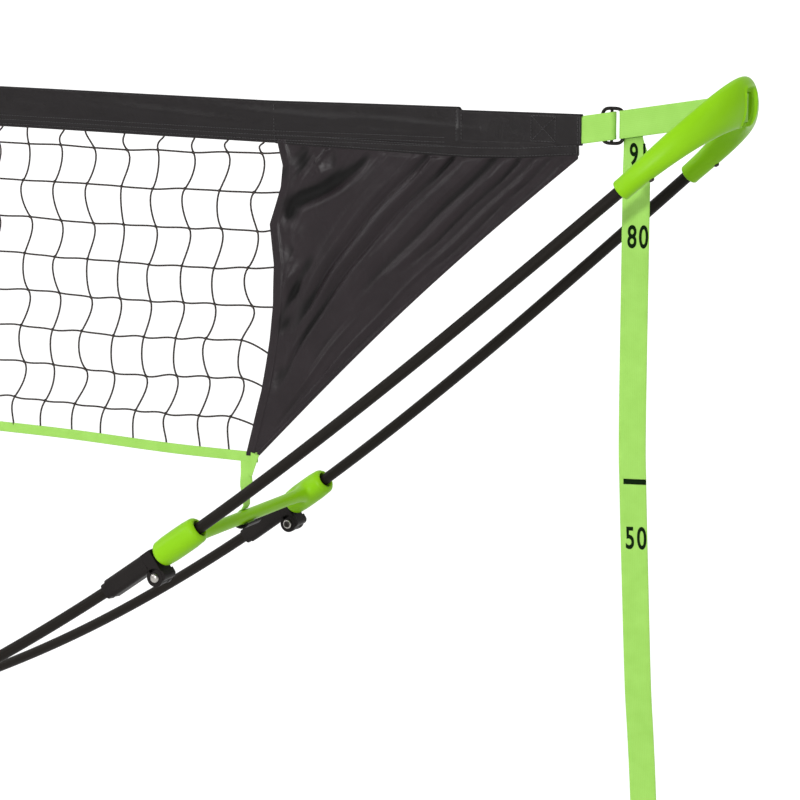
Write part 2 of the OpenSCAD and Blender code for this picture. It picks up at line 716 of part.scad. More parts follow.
buckle();  // buckle_right
left() adjusting_strap();  // adjusting_strap_left
adjusting_strap();  // adjusting_strap_right
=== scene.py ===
"""Looks of the free-standing net, dressed over its packed construction.

Metres, in the construction's frame: X along the net, the net in the plane Y = 0, Z up, the ground at Z = 0.
New pieces are surfaces worked out with numpy, and every finish is made of nodes.
"""
import math

import bmesh
import bpy
import numpy as np
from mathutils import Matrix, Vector


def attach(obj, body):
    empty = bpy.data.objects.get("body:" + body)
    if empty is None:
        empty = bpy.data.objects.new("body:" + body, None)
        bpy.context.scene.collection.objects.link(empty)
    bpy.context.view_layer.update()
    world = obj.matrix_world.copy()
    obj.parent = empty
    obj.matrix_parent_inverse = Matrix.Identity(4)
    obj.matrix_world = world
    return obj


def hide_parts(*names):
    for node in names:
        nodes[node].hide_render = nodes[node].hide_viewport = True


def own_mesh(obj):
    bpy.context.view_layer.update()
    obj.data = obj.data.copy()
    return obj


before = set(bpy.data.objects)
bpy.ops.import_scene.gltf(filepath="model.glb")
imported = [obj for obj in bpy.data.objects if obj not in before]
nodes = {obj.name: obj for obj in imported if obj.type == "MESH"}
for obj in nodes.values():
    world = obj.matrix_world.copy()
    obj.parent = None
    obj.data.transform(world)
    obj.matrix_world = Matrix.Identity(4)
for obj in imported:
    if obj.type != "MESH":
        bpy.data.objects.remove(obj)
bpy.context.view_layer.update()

FRONT, REAR = -1, 1
SIGN = {"right": 1, "left": -1}
BOWS = {"front": FRONT, "rear": REAR}

# Bows
BOW_LEN = 1.848
TIP_SLOPE = math.radians(41.3)
LEAN = math.radians(7)
BASE_HALF = 0.187
BASE_RISE = 0.038
ROD_R = 0.006
LOWER_ROD = (0.001, 1.16)
UPPER_ROD = (1.196, BOW_LEN)
ROD_EASE = 0.002

# Tip hoods
MOUTH_AT = 1.818
HOOD_LEN = 0.114
ARM_LEN = 0.008
MOUTH_D = 0.021
NOSE_H = 0.048
NOSE_T = 0.019
HOOD_RISE = 0.35
BAR_T = 0.005
SLOT_W = 0.019
SLOT_H = 0.031
SLOT_DROP = 0.006
LIP_R = 0.0022
BORE_R = 0.0066
PANEL_RIM = 0.0045
PANEL_DEEP = 0.0034
BEAD_H = 0.0014

# Net
NET_HALF = 1.5
NET_TOP = 0.911
BAND_LOW = 0.867
STRAP_Z = 0.8925
BAND_END = (0.877, 0.908)
BAND_STEP = (1.351, 1.371)
TAPE_MID = 0.530
TAPE_TOP = 0.5355
BAR_SPOT = (1.11408, 0.465065)

# Straps
STRAP_W = 0.027
STRAP_T = 0.0016
STRAP_RISE = math.tan(math.radians(9.18245))
BUCKLE_AT = 0.0195
MID_BAR = 0.0315
END_BAR = 0.044
HOOD_BAR = 0.170213
TAIL_X = 1.5556
TAIL_TURN = math.radians(16)
TURN_FROM, TURN_OVER = 0.885, 0.045     # height where the hanging end starts to turn, and the drop that it takes
FOLD_FROM, FOLD_OVER = 0.862, 0.03      # height where its corner starts to fold in, and the rise that it takes
FOLD_SHARE = 0.55
TAIL_ROUTE = ((4, 892), (6, 850), (6, 610), (10, 540), (20, 440), (32, 330), (42, 270), (51, 210),
              (61, 120), (65, 12))


# Camera

VIEW_FROM = (2.5165, -2.3406, 1.0949)
VIEW_TURN, VIEW_DOWN = math.radians(27.47), math.radians(10.474)
LENS_MM, SENSOR_MM = 117, 36


def link(name, data):
    """A new object in the scene."""
    made = bpy.data.objects.new(name, data)
    bpy.context.scene.collection.objects.link(made)
    return made


def set_camera():
    """The photograph's view: 27.5 degrees to the side of the net's plane and 10.5 degrees down."""
    level = math.cos(VIEW_DOWN)
    ahead = Vector((-math.sin(VIEW_TURN) * level, math.cos(VIEW_TURN) * level, -math.sin(VIEW_DOWN)))
    data = bpy.data.cameras.new("view")
    data.sensor_width, data.lens = SENSOR_MM, LENS_MM
    camera = link("view", data)
    camera.location = VIEW_FROM
    camera.rotation_mode = "QUATERNION"
    camera.rotation_quaternion = ahead.to_track_quat("-Z", "Y")
    bpy.context.scene.camera = camera


set_camera()


# Surfaces

def unit(v):
    """Vectors of length one along the last axis."""
    return v / np.linalg.norm(v, axis=-1, keepdims=True)


def ease(t):
    """Smooth step: 3 t^2 - 2 t^3 between 0 and 1."""
    t = np.clip(t, 0, 1)
    return t * t * (3 - 2 * t)


def run(points):
    """Length along the first axis of a grid, averaged over the second."""
    step = np.linalg.norm(np.diff(points, axis=0), axis=-1)
    step = step.mean(axis=1) if step.ndim > 1 else step
    return np.concatenate([[0], np.cumsum(step)])


def turns(count):
    """Angles at even steps once round."""
    return np.arange(count) * 2 * math.pi / count


def ring(sides, radius):
    """Circle of points (r cos t, r sin t)."""
    t = turns(sides)
    return radius * np.stack([np.cos(t), np.sin(t)], -1)


def boxed(wave, power):
    """A cosine or sine pulled towards its limits, sign(w) |w|^power, which turns a circle to a rounded box."""
    return np.sign(wave) * np.abs(wave) ** power


def flat(width, thick, cells=8):
    """Outline of a flat strip with rounded edges, there on one face and back on the other."""
    p = np.linspace(-width / 2 + thick / 2, width / 2 - thick / 2, cells + 1)
    turn = np.radians([-60, -30, 0, 30, 60])
    edge = np.stack([np.cos(turn), np.sin(turn)], -1) * thick / 2
    right = edge + [width / 2 - thick / 2, 0]
    low = np.stack([p, np.full_like(p, -thick / 2)], -1)
    return np.concatenate([low, right, -low, -right])


def carried(path, across, profile):
    """A profile carried along a path: point = path + p * across + q * (across x heading)."""
    heading = unit(np.gradient(path, axis=0))
    across = np.broadcast_to(np.asarray(across, float), path.shape)
    across = unit(across - heading * (across * heading).sum(-1, keepdims=True))
    out = np.cross(across, heading)
    return path[:, None] + profile[..., :1] * across[:, None] + profile[..., 1:] * out[:, None]


def carried_round(path, across, profile):
    """A profile carried round a closed path, whose ends overlap by two points while headings are worked out."""
    return carried(np.concatenate([path[-2:], path, path[:2]]), across, profile)[2:-2]


def mirrored(grid):
    """The same surface at the net's other end: X changes sign, and the columns run the other way."""
    return grid[:, ::-1] * [-1, 1, 1]


def points_of(mesh):
    """A mesh's points as an array [point, xyz]."""
    spots = np.zeros(len(mesh.vertices) * 3, np.float32)
    mesh.vertices.foreach_get("co", spots)
    return spots.reshape(-1, 3)


def add_mesh(name, grids, finish, loop=False):
    """One mesh over grids [row, column, xyz] with UV in metres along the rows and columns. Each row closes to a
    ring. loop joins the last ring to the first, and without it the end rings are capped."""
    points, faces, places, start = [], [], [], 0
    for grid in grids:
        rows, cols = grid.shape[:2]
        ringed = np.concatenate([grid, grid[:, :1]], 1)
        looped = np.concatenate([grid, grid[:1]], 0) if loop else grid
        along, across = run(looped), run(ringed.transpose(1, 0, 2))
        i, j = np.meshgrid(np.arange(len(along) - 1), np.arange(len(across) - 1), indexing="ij")
        i, j = i.ravel(), j.ravel()
        corners = ((i, j), (i + 1, j), (i + 1, j + 1), (i, j + 1))
        faces += np.stack([start + a % rows * cols + b % cols for a, b in corners], -1).tolist()
        places.append(np.stack([np.stack([along[a], across[b]], -1) for a, b in corners], 1).reshape(-1, 2))
        if not loop:
            first = np.arange(cols)
            faces += [(start + first).tolist(), (start + (rows - 1) * cols + first[::-1]).tolist()]
            places.append(np.stack([np.full(cols, along[0]), across[:cols]], -1))
            places.append(np.stack([np.full(cols, along[-1]), across[:cols][::-1]], -1))
        points.append(grid.reshape(-1, 3))
        start += rows * cols
    mesh = bpy.data.meshes.new(name)
    mesh.from_pydata(np.concatenate(points).tolist(), [], faces)
    uv = mesh.uv_layers.new(name="UVMap")
    uv.data.foreach_set("uv", np.concatenate(places).astype(np.float32).ravel())
    mesh.polygons.foreach_set("use_smooth", np.ones(len(mesh.polygons), bool))
    mesh.materials.append(finish)
    mesh.update()
    return link(name, mesh)


def both_ends(name, grids, finish, **how):
    """A piece at the right end and its mirror image at the left."""
    right = add_mesh(name + "_right", grids, finish, **how)
    left = add_mesh(name + "_left", [mirrored(g) for g in grids], finish, **how)
    return {"left": left, "right": right}


def on_net(pair, replaced=()):
    """Pieces of the net ride on the frame, each with a mesh of its own, and the parts that they replace are hidden.
    """
    for end, piece in pair.items():
        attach(piece, "frame")
        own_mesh(piece)
        if replaced:
            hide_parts(*(n.format(end) for n in replaced))


def on_arm(pair, replaced=()):
    """Pieces that fold away with an end."""
    for end, piece in pair.items():
        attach(piece, end + "_arm")
        if replaced:
            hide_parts(*(n.format(end) for n in replaced))


# Nodes of materials

def put(tree, kind, inputs=None, **settings):
    """A new node with its settings, and its inputs linked to sockets or set to values."""
    made = tree.nodes.new("ShaderNode" + kind)
    for key, value in settings.items():
        setattr(made, key, value)
    for key, value in (inputs or {}).items():
        if isinstance(value, bpy.types.NodeSocket):
            tree.links.new(value, made.inputs[key])
        else:
            made.inputs[key].default_value = value
    return made


def calc(tree, operation, a, b=0.0, c=0.0):
    """The output of a Math node."""
    return put(tree, "Math", {0: a, 1: b, 2: c}, operation=operation).outputs[0]


def blended(tree, share, a, b):
    """A colour between a and b."""
    return put(tree, "Mix", {0: share, 6: a, 7: b}, data_type="RGBA").outputs[2]


def noise(tree, where, scale, detail=2.0, **more):
    """The value of a Noise texture."""
    return put(tree, "TexNoise", {"Vector": where, "Scale": scale, "Detail": detail, **more}).outputs[0]


def new_group(name, inputs, outputs):
    """An empty node group with named sockets; returns its tree, its inputs and its output node."""
    tree = bpy.data.node_groups.new(name, "ShaderNodeTree")
    for label, kind in inputs:
        tree.interface.new_socket(label, in_out="INPUT", socket_type="NodeSocket" + kind)
    for label, kind in outputs:
        tree.interface.new_socket(label, in_out="OUTPUT", socket_type="NodeSocket" + kind)
    given = tree.nodes.new("NodeGroupInput")
    return tree, given.outputs, tree.nodes.new("NodeGroupOutput")


def grain_group():
    """Mould grain: a broad cloud for shade and a fine one for height."""
    tree, given, out = new_group("mould_grain", [("Coords", "Vector"), ("Broad", "Float"), ("Fine", "Float")],
                                 [("Cloud", "Float"), ("Grain", "Float")])
    tree.links.new(noise(tree, given["Coords"], given["Broad"], 4.0), out.inputs["Cloud"])
    tree.links.new(noise(tree, given["Coords"], given["Fine"], 3.0), out.inputs["Grain"])
    return tree


def weave_group():
    """Plain weave on UV: warp and weft take turns on top, as |sin u| and |sin v| in the squares of a board."""
    tree, given, out = new_group("plain_weave", [("UV", "Vector"), ("Pitch", "Float")], [("Height", "Float")])
    split = put(tree, "SeparateXYZ", {0: given["UV"]})
    u, v = (calc(tree, "SINE", calc(tree, "DIVIDE", calc(tree, "MULTIPLY", way, math.pi), given["Pitch"]))
            for way in (split.outputs[0], split.outputs[1]))
    turn = calc(tree, "GREATER_THAN", calc(tree, "MULTIPLY", u, v), 0.0)
    high = calc(tree, "MULTIPLY", turn, calc(tree, "ABSOLUTE", u))
    low = calc(tree, "MULTIPLY", calc(tree, "SUBTRACT", 1.0, turn), calc(tree, "ABSOLUTE", v))
    tree.links.new(calc(tree, "ADD", high, low), out.inputs["Height"])
    return tree


def rib_group():
    """Webbing on UV: chevrons, |sin| of the way along plus a zigzag of the way across."""
    tree, given, out = new_group("webbing_ribs", [("UV", "Vector"), ("Pitch", "Float"), ("Panel", "Float")],
                                 [("Height", "Float")])
    split = put(tree, "SeparateXYZ", {0: given["UV"]})
    zigzag = calc(tree, "PINGPONG", split.outputs[1], given["Panel"])
    way = calc(tree, "DIVIDE", calc(tree, "ADD", split.outputs[0], zigzag), given["Pitch"])
    rib = calc(tree, "ABSOLUTE", calc(tree, "SINE", calc(tree, "MULTIPLY", way, math.pi)))
    panel = calc(tree, "ABSOLUTE", calc(tree, "SINE", calc(tree, "DIVIDE", calc(
        tree, "MULTIPLY", split.outputs[1], math.pi), given["Panel"])))
    tree.links.new(calc(tree, "MULTIPLY", rib, calc(tree, "POWER", panel, 0.3)), out.inputs["Height"])
    return tree


GRAIN, WEAVE, RIBS = grain_group(), weave_group(), rib_group()


def new_finish(name):
    """A material with its shader; returns the material, its tree, the shader and the two kinds of coordinates."""
    made = bpy.data.materials.new(name)
    made.use_nodes = True
    tree = made.node_tree
    shader = tree.nodes["Principled BSDF"]
    where = put(tree, "TexCoord")
    return made, tree, shader, where.outputs["Object"], where.outputs["UV"]


def wire(tree, shader, colour=None, rough=None, height=None, depth=0.0, strength=1.0):
    """Links colour, roughness and a height to the shader."""
    if colour is not None:
        tree.links.new(colour, shader.inputs["Base Color"])
    if rough is not None:
        tree.links.new(rough, shader.inputs["Roughness"])
    if height is not None:
        bump = put(tree, "Bump", {"Strength": strength, "Distance": depth, "Height": height})
        tree.links.new(bump.outputs[0], shader.inputs["Normal"])


def moulded(name, dark, light, rough, fine=900.0, broad=14.0, depth=0.00012, gleam=0.10):
    """Moulded plastic or rubber: cloudy colour, uneven gloss and a fine grain."""
    made, tree, shader, coords, _ = new_finish(name)
    group = put(tree, "Group", {"Coords": coords, "Broad": broad, "Fine": fine}, node_tree=GRAIN)
    colour = blended(tree, group.outputs["Cloud"], dark, light)
    gloss = calc(tree, "MULTIPLY_ADD", group.outputs["Cloud"], 0.16, rough - 0.08)
    wire(tree, shader, colour, gloss, group.outputs["Grain"], depth)
    shader.inputs["Specular IOR Level"].default_value = gleam
    return made


def rod_finish():
    """Drawn glass fibre: streaks along the rod in shade and gloss."""
    made, tree, shader, _, uv = new_finish("rod_fibre")
    streak = put(tree, "Mapping", {"Vector": uv, "Scale": (3.0, 700.0, 1.0)})
    fibre = noise(tree, streak.outputs[0], 1.0, 4.0)
    colour = blended(tree, fibre, (0.006, 0.005, 0.004, 1), (0.018, 0.015, 0.012, 1))
    gloss = calc(tree, "MULTIPLY_ADD", noise(tree, uv, 9.0), 0.2, 0.36)
    wire(tree, shader, colour, gloss, fibre, 0.00001, 0.3)
    shader.inputs["Specular IOR Level"].default_value = 0.09
    return made


def metal(name, light, rough):
    """Plated steel with fine turning marks and a cloudy sheen."""
    made, tree, shader, coords, _ = new_finish(name)
    group = put(tree, "Group", {"Coords": coords, "Broad": 160.0, "Fine": 2200.0}, node_tree=GRAIN)
    dark = tuple(0.7 * c for c in light[:3]) + (1,)
    wire(tree, shader, blended(tree, group.outputs["Cloud"], dark, light),
         calc(tree, "MULTIPLY_ADD", group.outputs["Grain"], 0.2, rough - 0.1), group.outputs["Grain"], 0.00004)
    shader.inputs["Metallic"].default_value = 1.0
    return made


def cloth_finish(name, dark, light):
    """Satin-woven black cloth: a fine weave, a cloud whose lighter patches in the colour are painted mottled sheen
    and which also varies the gloss, and valleys made duller, and darker by painted shade, through the piece's own
    crease attribute."""
    made, tree, shader, coords, uv = new_finish(name)
    weave = put(tree, "Group", {"UV": uv, "Pitch": 0.0007}, node_tree=WEAVE).outputs["Height"]
    cloud = noise(tree, coords, 26.0, 6.0)
    # Painted sheen: the cloud lightens the colour in patches; in the roughness below it varies the gloss.
    shade = calc(tree, "MULTIPLY_ADD", weave, 0.35, calc(tree, "MULTIPLY", cloud, 0.65))
    colour = blended(tree, shade, dark, light)
    # Painted shade: the crease attribute darkens the colour in the valleys of the folds, and it also raises their
    # roughness.
    crease = put(tree, "Attribute", attribute_name="crease").outputs["Fac"]
    colour = blended(tree, crease, colour, (0.0016, 0.0012, 0.0012, 1))
    gloss = calc(tree, "MULTIPLY_ADD", crease, 0.40, calc(tree, "MULTIPLY_ADD", cloud, 0.14, 0.26))
    height = calc(tree, "MULTIPLY_ADD", weave, 0.03, noise(tree, coords, 48.0, 3.0, Distortion=0.8))
    wire(tree, shader, colour, gloss, height, 0.0009)
    shader.inputs["Specular IOR Level"].default_value = 0.24
    return made


def webbing_finish(name, dark, light):
    """Woven green webbing: chevron ribs with shade between them."""
    made, tree, shader, coords, uv = new_finish(name)
    ribs = put(tree, "Group", {"UV": uv, "Pitch": 0.0012, "Panel": 0.0018}, node_tree=RIBS).outputs["Height"]
    cloud = noise(tree, coords, 55.0, 5.0)
    shade = calc(tree, "MULTIPLY_ADD", ribs, 0.4, calc(tree, "MULTIPLY", cloud, 0.6))
    wire(tree, shader, blended(tree, shade, dark, light), calc(tree, "MULTIPLY_ADD", cloud, 0.2, 0.6), ribs, 0.00012)
    shader.inputs["Specular IOR Level"].default_value = 0.25
    return made


def twisted(name, dark, light, lay, width):
    """Twisted cord or thread: bands that run round the strand as UV goes along it, lighter at each crest as a
    painted highlight.
    """
    made, tree, shader, _, uv = new_finish(name)
    split = put(tree, "SeparateXYZ", {0: uv})
    along = calc(tree, "DIVIDE", split.outputs[0], lay)
    round_it = calc(tree, "DIVIDE", split.outputs[1], width)
    strand = calc(tree, "ABSOLUTE", calc(tree, "SINE", calc(tree, "MULTIPLY", calc(
        tree, "ADD", along, round_it), math.pi)))
    # Painted highlight: the crest of each strand takes the lighter colour.
    wire(tree, shader, blended(tree, calc(tree, "POWER", strand, 7.0), dark, light),
         calc(tree, "MULTIPLY_ADD", strand, -0.1, 0.7), strand, 0.0003)
    return made


def ink_finish():
    """Printed ink on webbing, worn in specks."""
    made, tree, shader, coords, _ = new_finish("print_ink")
    speck = noise(tree, coords, 900.0, 3.0)
    wire(tree, shader, blended(tree, speck, (0.0012, 0.006, 0.0008, 1), (0.004, 0.018, 0.002, 1)),
         calc(tree, "MULTIPLY_ADD", speck, 0.2, 0.7), speck, 0.0001)
    shader.inputs["Specular IOR Level"].default_value = 0.08
    return made


green_plastic = moulded("green_plastic", (0.225, 0.540, 0.003, 1), (0.290, 0.640, 0.010, 1), 0.37, gleam=0.16)
black_plastic = moulded("black_plastic", (0.007, 0.006, 0.006, 1), (0.020, 0.017, 0.016, 1), 0.46, depth=0.0002)
pad_rubber = moulded("pad_rubber", (0.012, 0.012, 0.012, 1), (0.032, 0.031, 0.030, 1), 0.75, depth=0.0003)
rod_fibre = rod_finish()
pin_steel = metal("pin_steel", (0.50, 0.48, 0.45, 1), 0.3)
screw_steel = metal("screw_steel", (0.06, 0.055, 0.05, 1), 0.4)
black_cloth = cloth_finish("black_cloth", (0.0056, 0.0034, 0.0043, 1), (0.0215, 0.0142, 0.0175, 1))
band_cloth = cloth_finish("band_cloth", (0.0030, 0.0021, 0.0023, 1), (0.0118, 0.0088, 0.0096, 1))
green_webbing = webbing_finish("green_webbing", (0.255, 0.55, 0.065, 1), (0.43, 0.78, 0.17, 1))
# The cord's lighter colour is a painted highlight on the crests of its twist.
net_cord = twisted("net_cord", (0.002, 0.0012, 0.0009, 1), (0.062, 0.038, 0.028, 1), 0.0056, 0.0030)
grey_thread = twisted("grey_thread", (0.05, 0.048, 0.05, 1), (0.14, 0.135, 0.14, 1), 0.001, 0.001)
print_ink = ink_finish()

# Solids that stay in view
KEPT = {"base_joiner": black_plastic, "foot_pad": pad_rubber, "hinge_socket": black_plastic,
        "hinge_tongue": black_plastic, "tie_keeper": black_plastic}
for node_name, node in nodes.items():
    for stem, finish in KEPT.items():
        if node_name.startswith(stem):
            node.data.materials.clear()
            node.data.materials.append(finish)


# Hanging straps

def smooth_route(points, count):
    """Catmull-Rom curve through points, at even steps of its length."""
    p = np.asarray(points, float)
    p = np.concatenate([2 * p[:1] - p[1:2], p, 2 * p[-1:] - p[-2:-1]])
    t = np.linspace(0, 1, 40, endpoint=False)[:, None]
    parts = [0.5 * (2 * b + (c - a) * t + (2 * a - 5 * b + 4 * c - d) * t ** 2 + (3 * b - a - 3 * c + d) * t ** 3)
             for a, b, c, d in zip(p, p[1:], p[2:], p[3:])]
    fine = np.concatenate(parts + [p[-2:-1]])
    s = run(fine)
    even = np.linspace(0, s[-1], count)
    return np.stack([np.interp(even, s, fine[:, k]) for k in range(fine.shape[1])], -1)


def tail_path(count=120):
    """Middle of the hanging end, from behind the buckle to the ground."""
    yz = smooth_route(TAIL_ROUTE, count) / 1000
    return np.concatenate([np.full((count, 1), TAIL_X), yz], 1)


def tail_turn(z):
    """The hanging end turns a little towards the net's end below its fold."""
    return TAIL_TURN * ease((TURN_FROM - z) / TURN_OVER)


def hanging_straps():
    """A flat strip along the route, whose upper corner is folded in where it turns over."""
    path = tail_path()
    turn = tail_turn(path[:, 2])
    across = np.stack([np.cos(turn), np.sin(turn), 0 * turn], -1)
    profile = np.repeat(flat(STRAP_W, STRAP_T)[None], len(path), 0)
    fold = 1 - FOLD_SHARE * ease((path[:, 2] - FOLD_FROM) / FOLD_OVER)[:, None]
    profile[..., 0] = np.where(profile[..., 0] > 0, profile[..., 0] * fold, profile[..., 0])
    pair = both_ends("strap_tail", [carried(path, across, profile)], green_webbing)
    on_net(pair, ["adjusting_strap_{}"])
    return pair, path


tails, tail_line = hanging_straps()


# Rods

ARC_ENDS = np.linspace(0, BOW_LEN, 9)
BOW_S = np.linspace(0, BOW_LEN, 3697)
BOW_SLOPE = np.interp(BOW_S, ARC_ENDS, TIP_SLOPE * (1 - (1 - ARC_ENDS / BOW_LEN) ** 2))


def summed(values):
    """Running integral along the bow."""
    return np.concatenate([[0], np.cumsum((values[1:] + values[:-1]) / 2)]) * (BOW_S[1] - BOW_S[0])


BOW_X, BOW_Y = summed(np.cos(BOW_SLOPE)), summed(np.sin(BOW_SLOPE))


def bow_spot(s, side):
    """Points on a leaning half bow at distances s; its slope grows by the eight arcs of the construction."""
    x, y = np.interp(s, BOW_S, BOW_X), np.interp(s, BOW_S, BOW_Y)
    return np.stack([x, side * (BASE_HALF - y * math.sin(LEAN)), BASE_RISE + y * math.cos(LEAN)], -1)


def rods():
    """Round bars carried along the bow, with rounded ends."""
    for bow, side in BOWS.items():
        for part, (start, stop) in (("lower", LOWER_ROD), ("upper", UPPER_ROD)):
            s = np.concatenate([[start, start + 0.0004], np.arange(start + ROD_EASE, stop - ROD_EASE, 0.012),
                                [stop - 0.0004, stop]])
            grow = np.minimum(1, np.minimum(s - start, stop - s) / ROD_EASE)
            profile = ring(28, ROD_R) * (0.9 + 0.1 * np.sqrt(grow))[:, None, None]
            across = (0, math.cos(side * LEAN), math.sin(side * LEAN))
            pair = both_ends(f"rod_{part}_{bow}", [carried(bow_spot(s, side), across, profile)], rod_fibre)
            for end, rod in pair.items():
                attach(rod, "frame" if part == "lower" else end + "_arm")
                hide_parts(f"{part}_rod_{bow}_{end}")


rods()


# Tip hoods

MOUTH = bow_spot(np.array(MOUTH_AT), REAR)
TILT = math.atan2(math.cos(LEAN) * math.sin(TIP_SLOPE), math.cos(TIP_SLOPE))
TOE_IN = math.asin(math.sin(LEAN) * math.sin(TIP_SLOPE))
NOSE = np.array([MOUTH[0] + HOOD_LEN * math.cos(TILT), 0, MOUTH[2] + HOOD_LEN * math.sin(TILT)])
SLOT = NOSE + [0, 0, HOOD_RISE * (NOSE_H - MOUTH_D) / 2 - SLOT_DROP]


def hood_skin():
    """Wishbone skin. Its middle line goes along one arm, round a half ellipse and back. Each ring is an oval that
    grows from the round mouth to the tall nose, its height by the square of the way and its width evenly."""
    turn_at = ARM_LEN * math.cos(TOE_IN)
    turn_half = MOUTH[1] - ARM_LEN * math.sin(TOE_IN)
    arm = np.linspace(0, 1, 8, endpoint=False)
    a = np.linspace(0, math.pi, 321)
    flat_arm = np.stack([arm * turn_at, -MOUTH[1] + arm * ARM_LEN * math.sin(TOE_IN)], -1)
    bend = np.stack([turn_at + (HOOD_LEN - turn_at) * np.sin(a), -turn_half * np.cos(a)], -1)
    middle = np.concatenate([flat_arm, bend, flat_arm[::-1] * [1, -1]])
    way = middle[:, 0]
    grow = way / HOOD_LEN
    lean = TILT * (1 - ease((way - turn_at) / (HOOD_LEN - turn_at)))
    up = np.stack([-np.sin(lean), np.zeros_like(lean), np.cos(lean)], -1)
    line = np.stack([MOUTH[0] + way * math.cos(TILT), middle[:, 1], MOUTH[2] + way * math.sin(TILT)], -1)
    heading = unit(np.gradient(line, axis=0))
    out = unit(np.cross(up, heading))
    line = line + up * (HOOD_RISE * (NOSE_H - MOUTH_D) / 2 * grow ** 2)[:, None]
    half_h = (MOUTH_D + (NOSE_H - MOUTH_D) * grow ** 2) / 2
    half_t = (MOUTH_D + (NOSE_T - MOUTH_D) * grow) / 2
    t = turns(112)
    oval = (half_t[:, None, None] * np.cos(t)[None, :, None] * out[:, None]
            + half_h[:, None, None] * np.sin(t)[None, :, None] * up[:, None])
    skin = line[:, None] + oval
    return skin, line, heading


def mouth_rings(skin, line, heading, end):
    """The lip of a mouth: the end ring rolls over by a quarter round into the bore."""
    k, sign = (0, 1) if end == 0 else (-1, -1)
    edge, middle, inward = skin[k], line[k], sign * heading[k]
    spokes = unit(edge - middle)
    reach = np.linalg.norm(edge - middle, axis=-1, keepdims=True)
    rings = []
    for angle in np.radians([0, 22, 45, 68, 90]):
        rings.append(middle + spokes * (reach - LIP_R * (1 - math.cos(angle))) - inward * LIP_R * math.sin(angle))
    for deep in (0.0, 0.004, 0.016):
        rings.append(middle + spokes * BORE_R - inward * (LIP_R - deep))
    return np.array(rings)


def mirror_image(name, piece):
    """The left end's copy of a finished right piece."""
    left = link(name, piece.data.copy())
    left.data.transform([[-1, 0, 0, 0], [0, 1, 0, 0], [0, 0, 1, 0], [0, 0, 0, 1]])
    left.data.flip_normals()
    return left


def hoods():
    """The skin with its lips; a slot and a sunk panel are cut through the nose, and its bar stands in the slot."""
    skin, line, heading = hood_skin()
    first, last = mouth_rings(skin, line, heading, 0), mouth_rings(skin, line, heading, 1)
    whole = np.concatenate([first[::-1], skin[1:-1], last])
    off = whole - SLOT
    wide, high = (np.abs(off[..., k]) / (size / 2 + PANEL_RIM) for k, size in ((1, SLOT_W), (2, SLOT_H)))
    edge = (wide ** 4 + high ** 4) ** 0.25
    outer = ease((off[..., 0] + 0.002) / 0.004)
    sunk = -PANEL_DEEP * (1 - ease((edge - 0.88) / 0.12))
    bead = BEAD_H * np.exp(-((edge - 1.05) / 0.055) ** 2)
    whole[..., 0] += outer * (sunk + bead)
    whole[..., 0] -= (1 - outer) * ease((off[..., 0] + 0.02) / 0.004) * (sunk * 0.8 + bead * 0.6)
    made = add_mesh("hood_right", [whole], green_plastic)
    cutter = add_mesh("slot_cutter", [slot_cutter()], green_plastic)
    cut = made.modifiers.new("slot", "BOOLEAN")
    cut.operation, cut.solver, cut.object = "DIFFERENCE", "EXACT", cutter
    settle(made)
    bpy.data.objects.remove(cutter)
    on_arm({"left": mirror_image("hood_left", made), "right": made}, ["tip_hood_{}"])
    bars = both_ends("hood_bar", [strap_bar()], green_plastic)
    on_arm(bars)


def settle(piece):
    """Makes a piece's modifiers final and shades it by angle."""
    graph = bpy.context.evaluated_depsgraph_get()
    mesh = bpy.data.meshes.new_from_object(piece.evaluated_get(graph))
    piece.modifiers.clear()
    piece.data = mesh
    piece.data.set_sharp_from_angle(angle=math.radians(50))


def slot_cutter():
    """A rounded box along X whose ends flare, from a superellipse of power 6 carried through the nose."""
    x = np.linspace(-0.016, 0.016, 25)
    shape = boxed(ring(72, 1.0), 1 / 3)
    flare = 0.0012 * ease((np.abs(x) - 0.0045) / 0.004)
    half = np.stack([SLOT_W / 2 + flare, SLOT_H / 2 + flare], -1)
    path = SLOT + np.stack([x, 0 * x, 0 * x], -1)
    return carried(path, (0, 1, 0), shape[None] * half[:, None])


def strap_bar():
    """The upright bar in the slot: an oval section, longer through the nose than it is wide."""
    z = np.linspace(-SLOT_H / 2 - 0.002, SLOT_H / 2 + 0.002, 9)
    oval = ring(28, 1.0) * [NOSE_T / 2 - 0.0043, BAR_T / 2]
    return carried(SLOT + np.stack([0 * z - 0.0023, 0 * z, z], -1), (1, 0, 0), oval)


hoods()


# Hinge pins

PIN = np.array([1.09115, 0.137645, 0.426922])
PIN_R, HEAD_R, HINGE_HALF, NUT_T = 0.003, 0.0051, 0.010, 0.0025
SHARP = math.radians(40)


def turned(centre, axis, outline, sides=36, hexed=()):
    """A turned part: rings of radius r at distances d along an axis. The rings named in hexed are six-sided, r / cos
    of the angle from the middle of a side."""
    axis = unit(np.asarray(axis, float))
    first = unit(np.cross(axis, (0.1, 0.3, 1.0)))
    second = np.cross(first, axis)
    t = turns(sides)
    flat_side = math.cos(math.pi / 6) / np.cos((t + math.pi / 6) % (math.pi / 3) - math.pi / 6)
    d, r = np.array(outline).T
    r = np.stack([a * (flat_side if k in hexed else 1 + 0 * t) for k, a in enumerate(r)])[..., None]
    across = r * (np.cos(t)[:, None] * first + np.sin(t)[:, None] * second)
    return centre + d[:, None, None] * axis + across


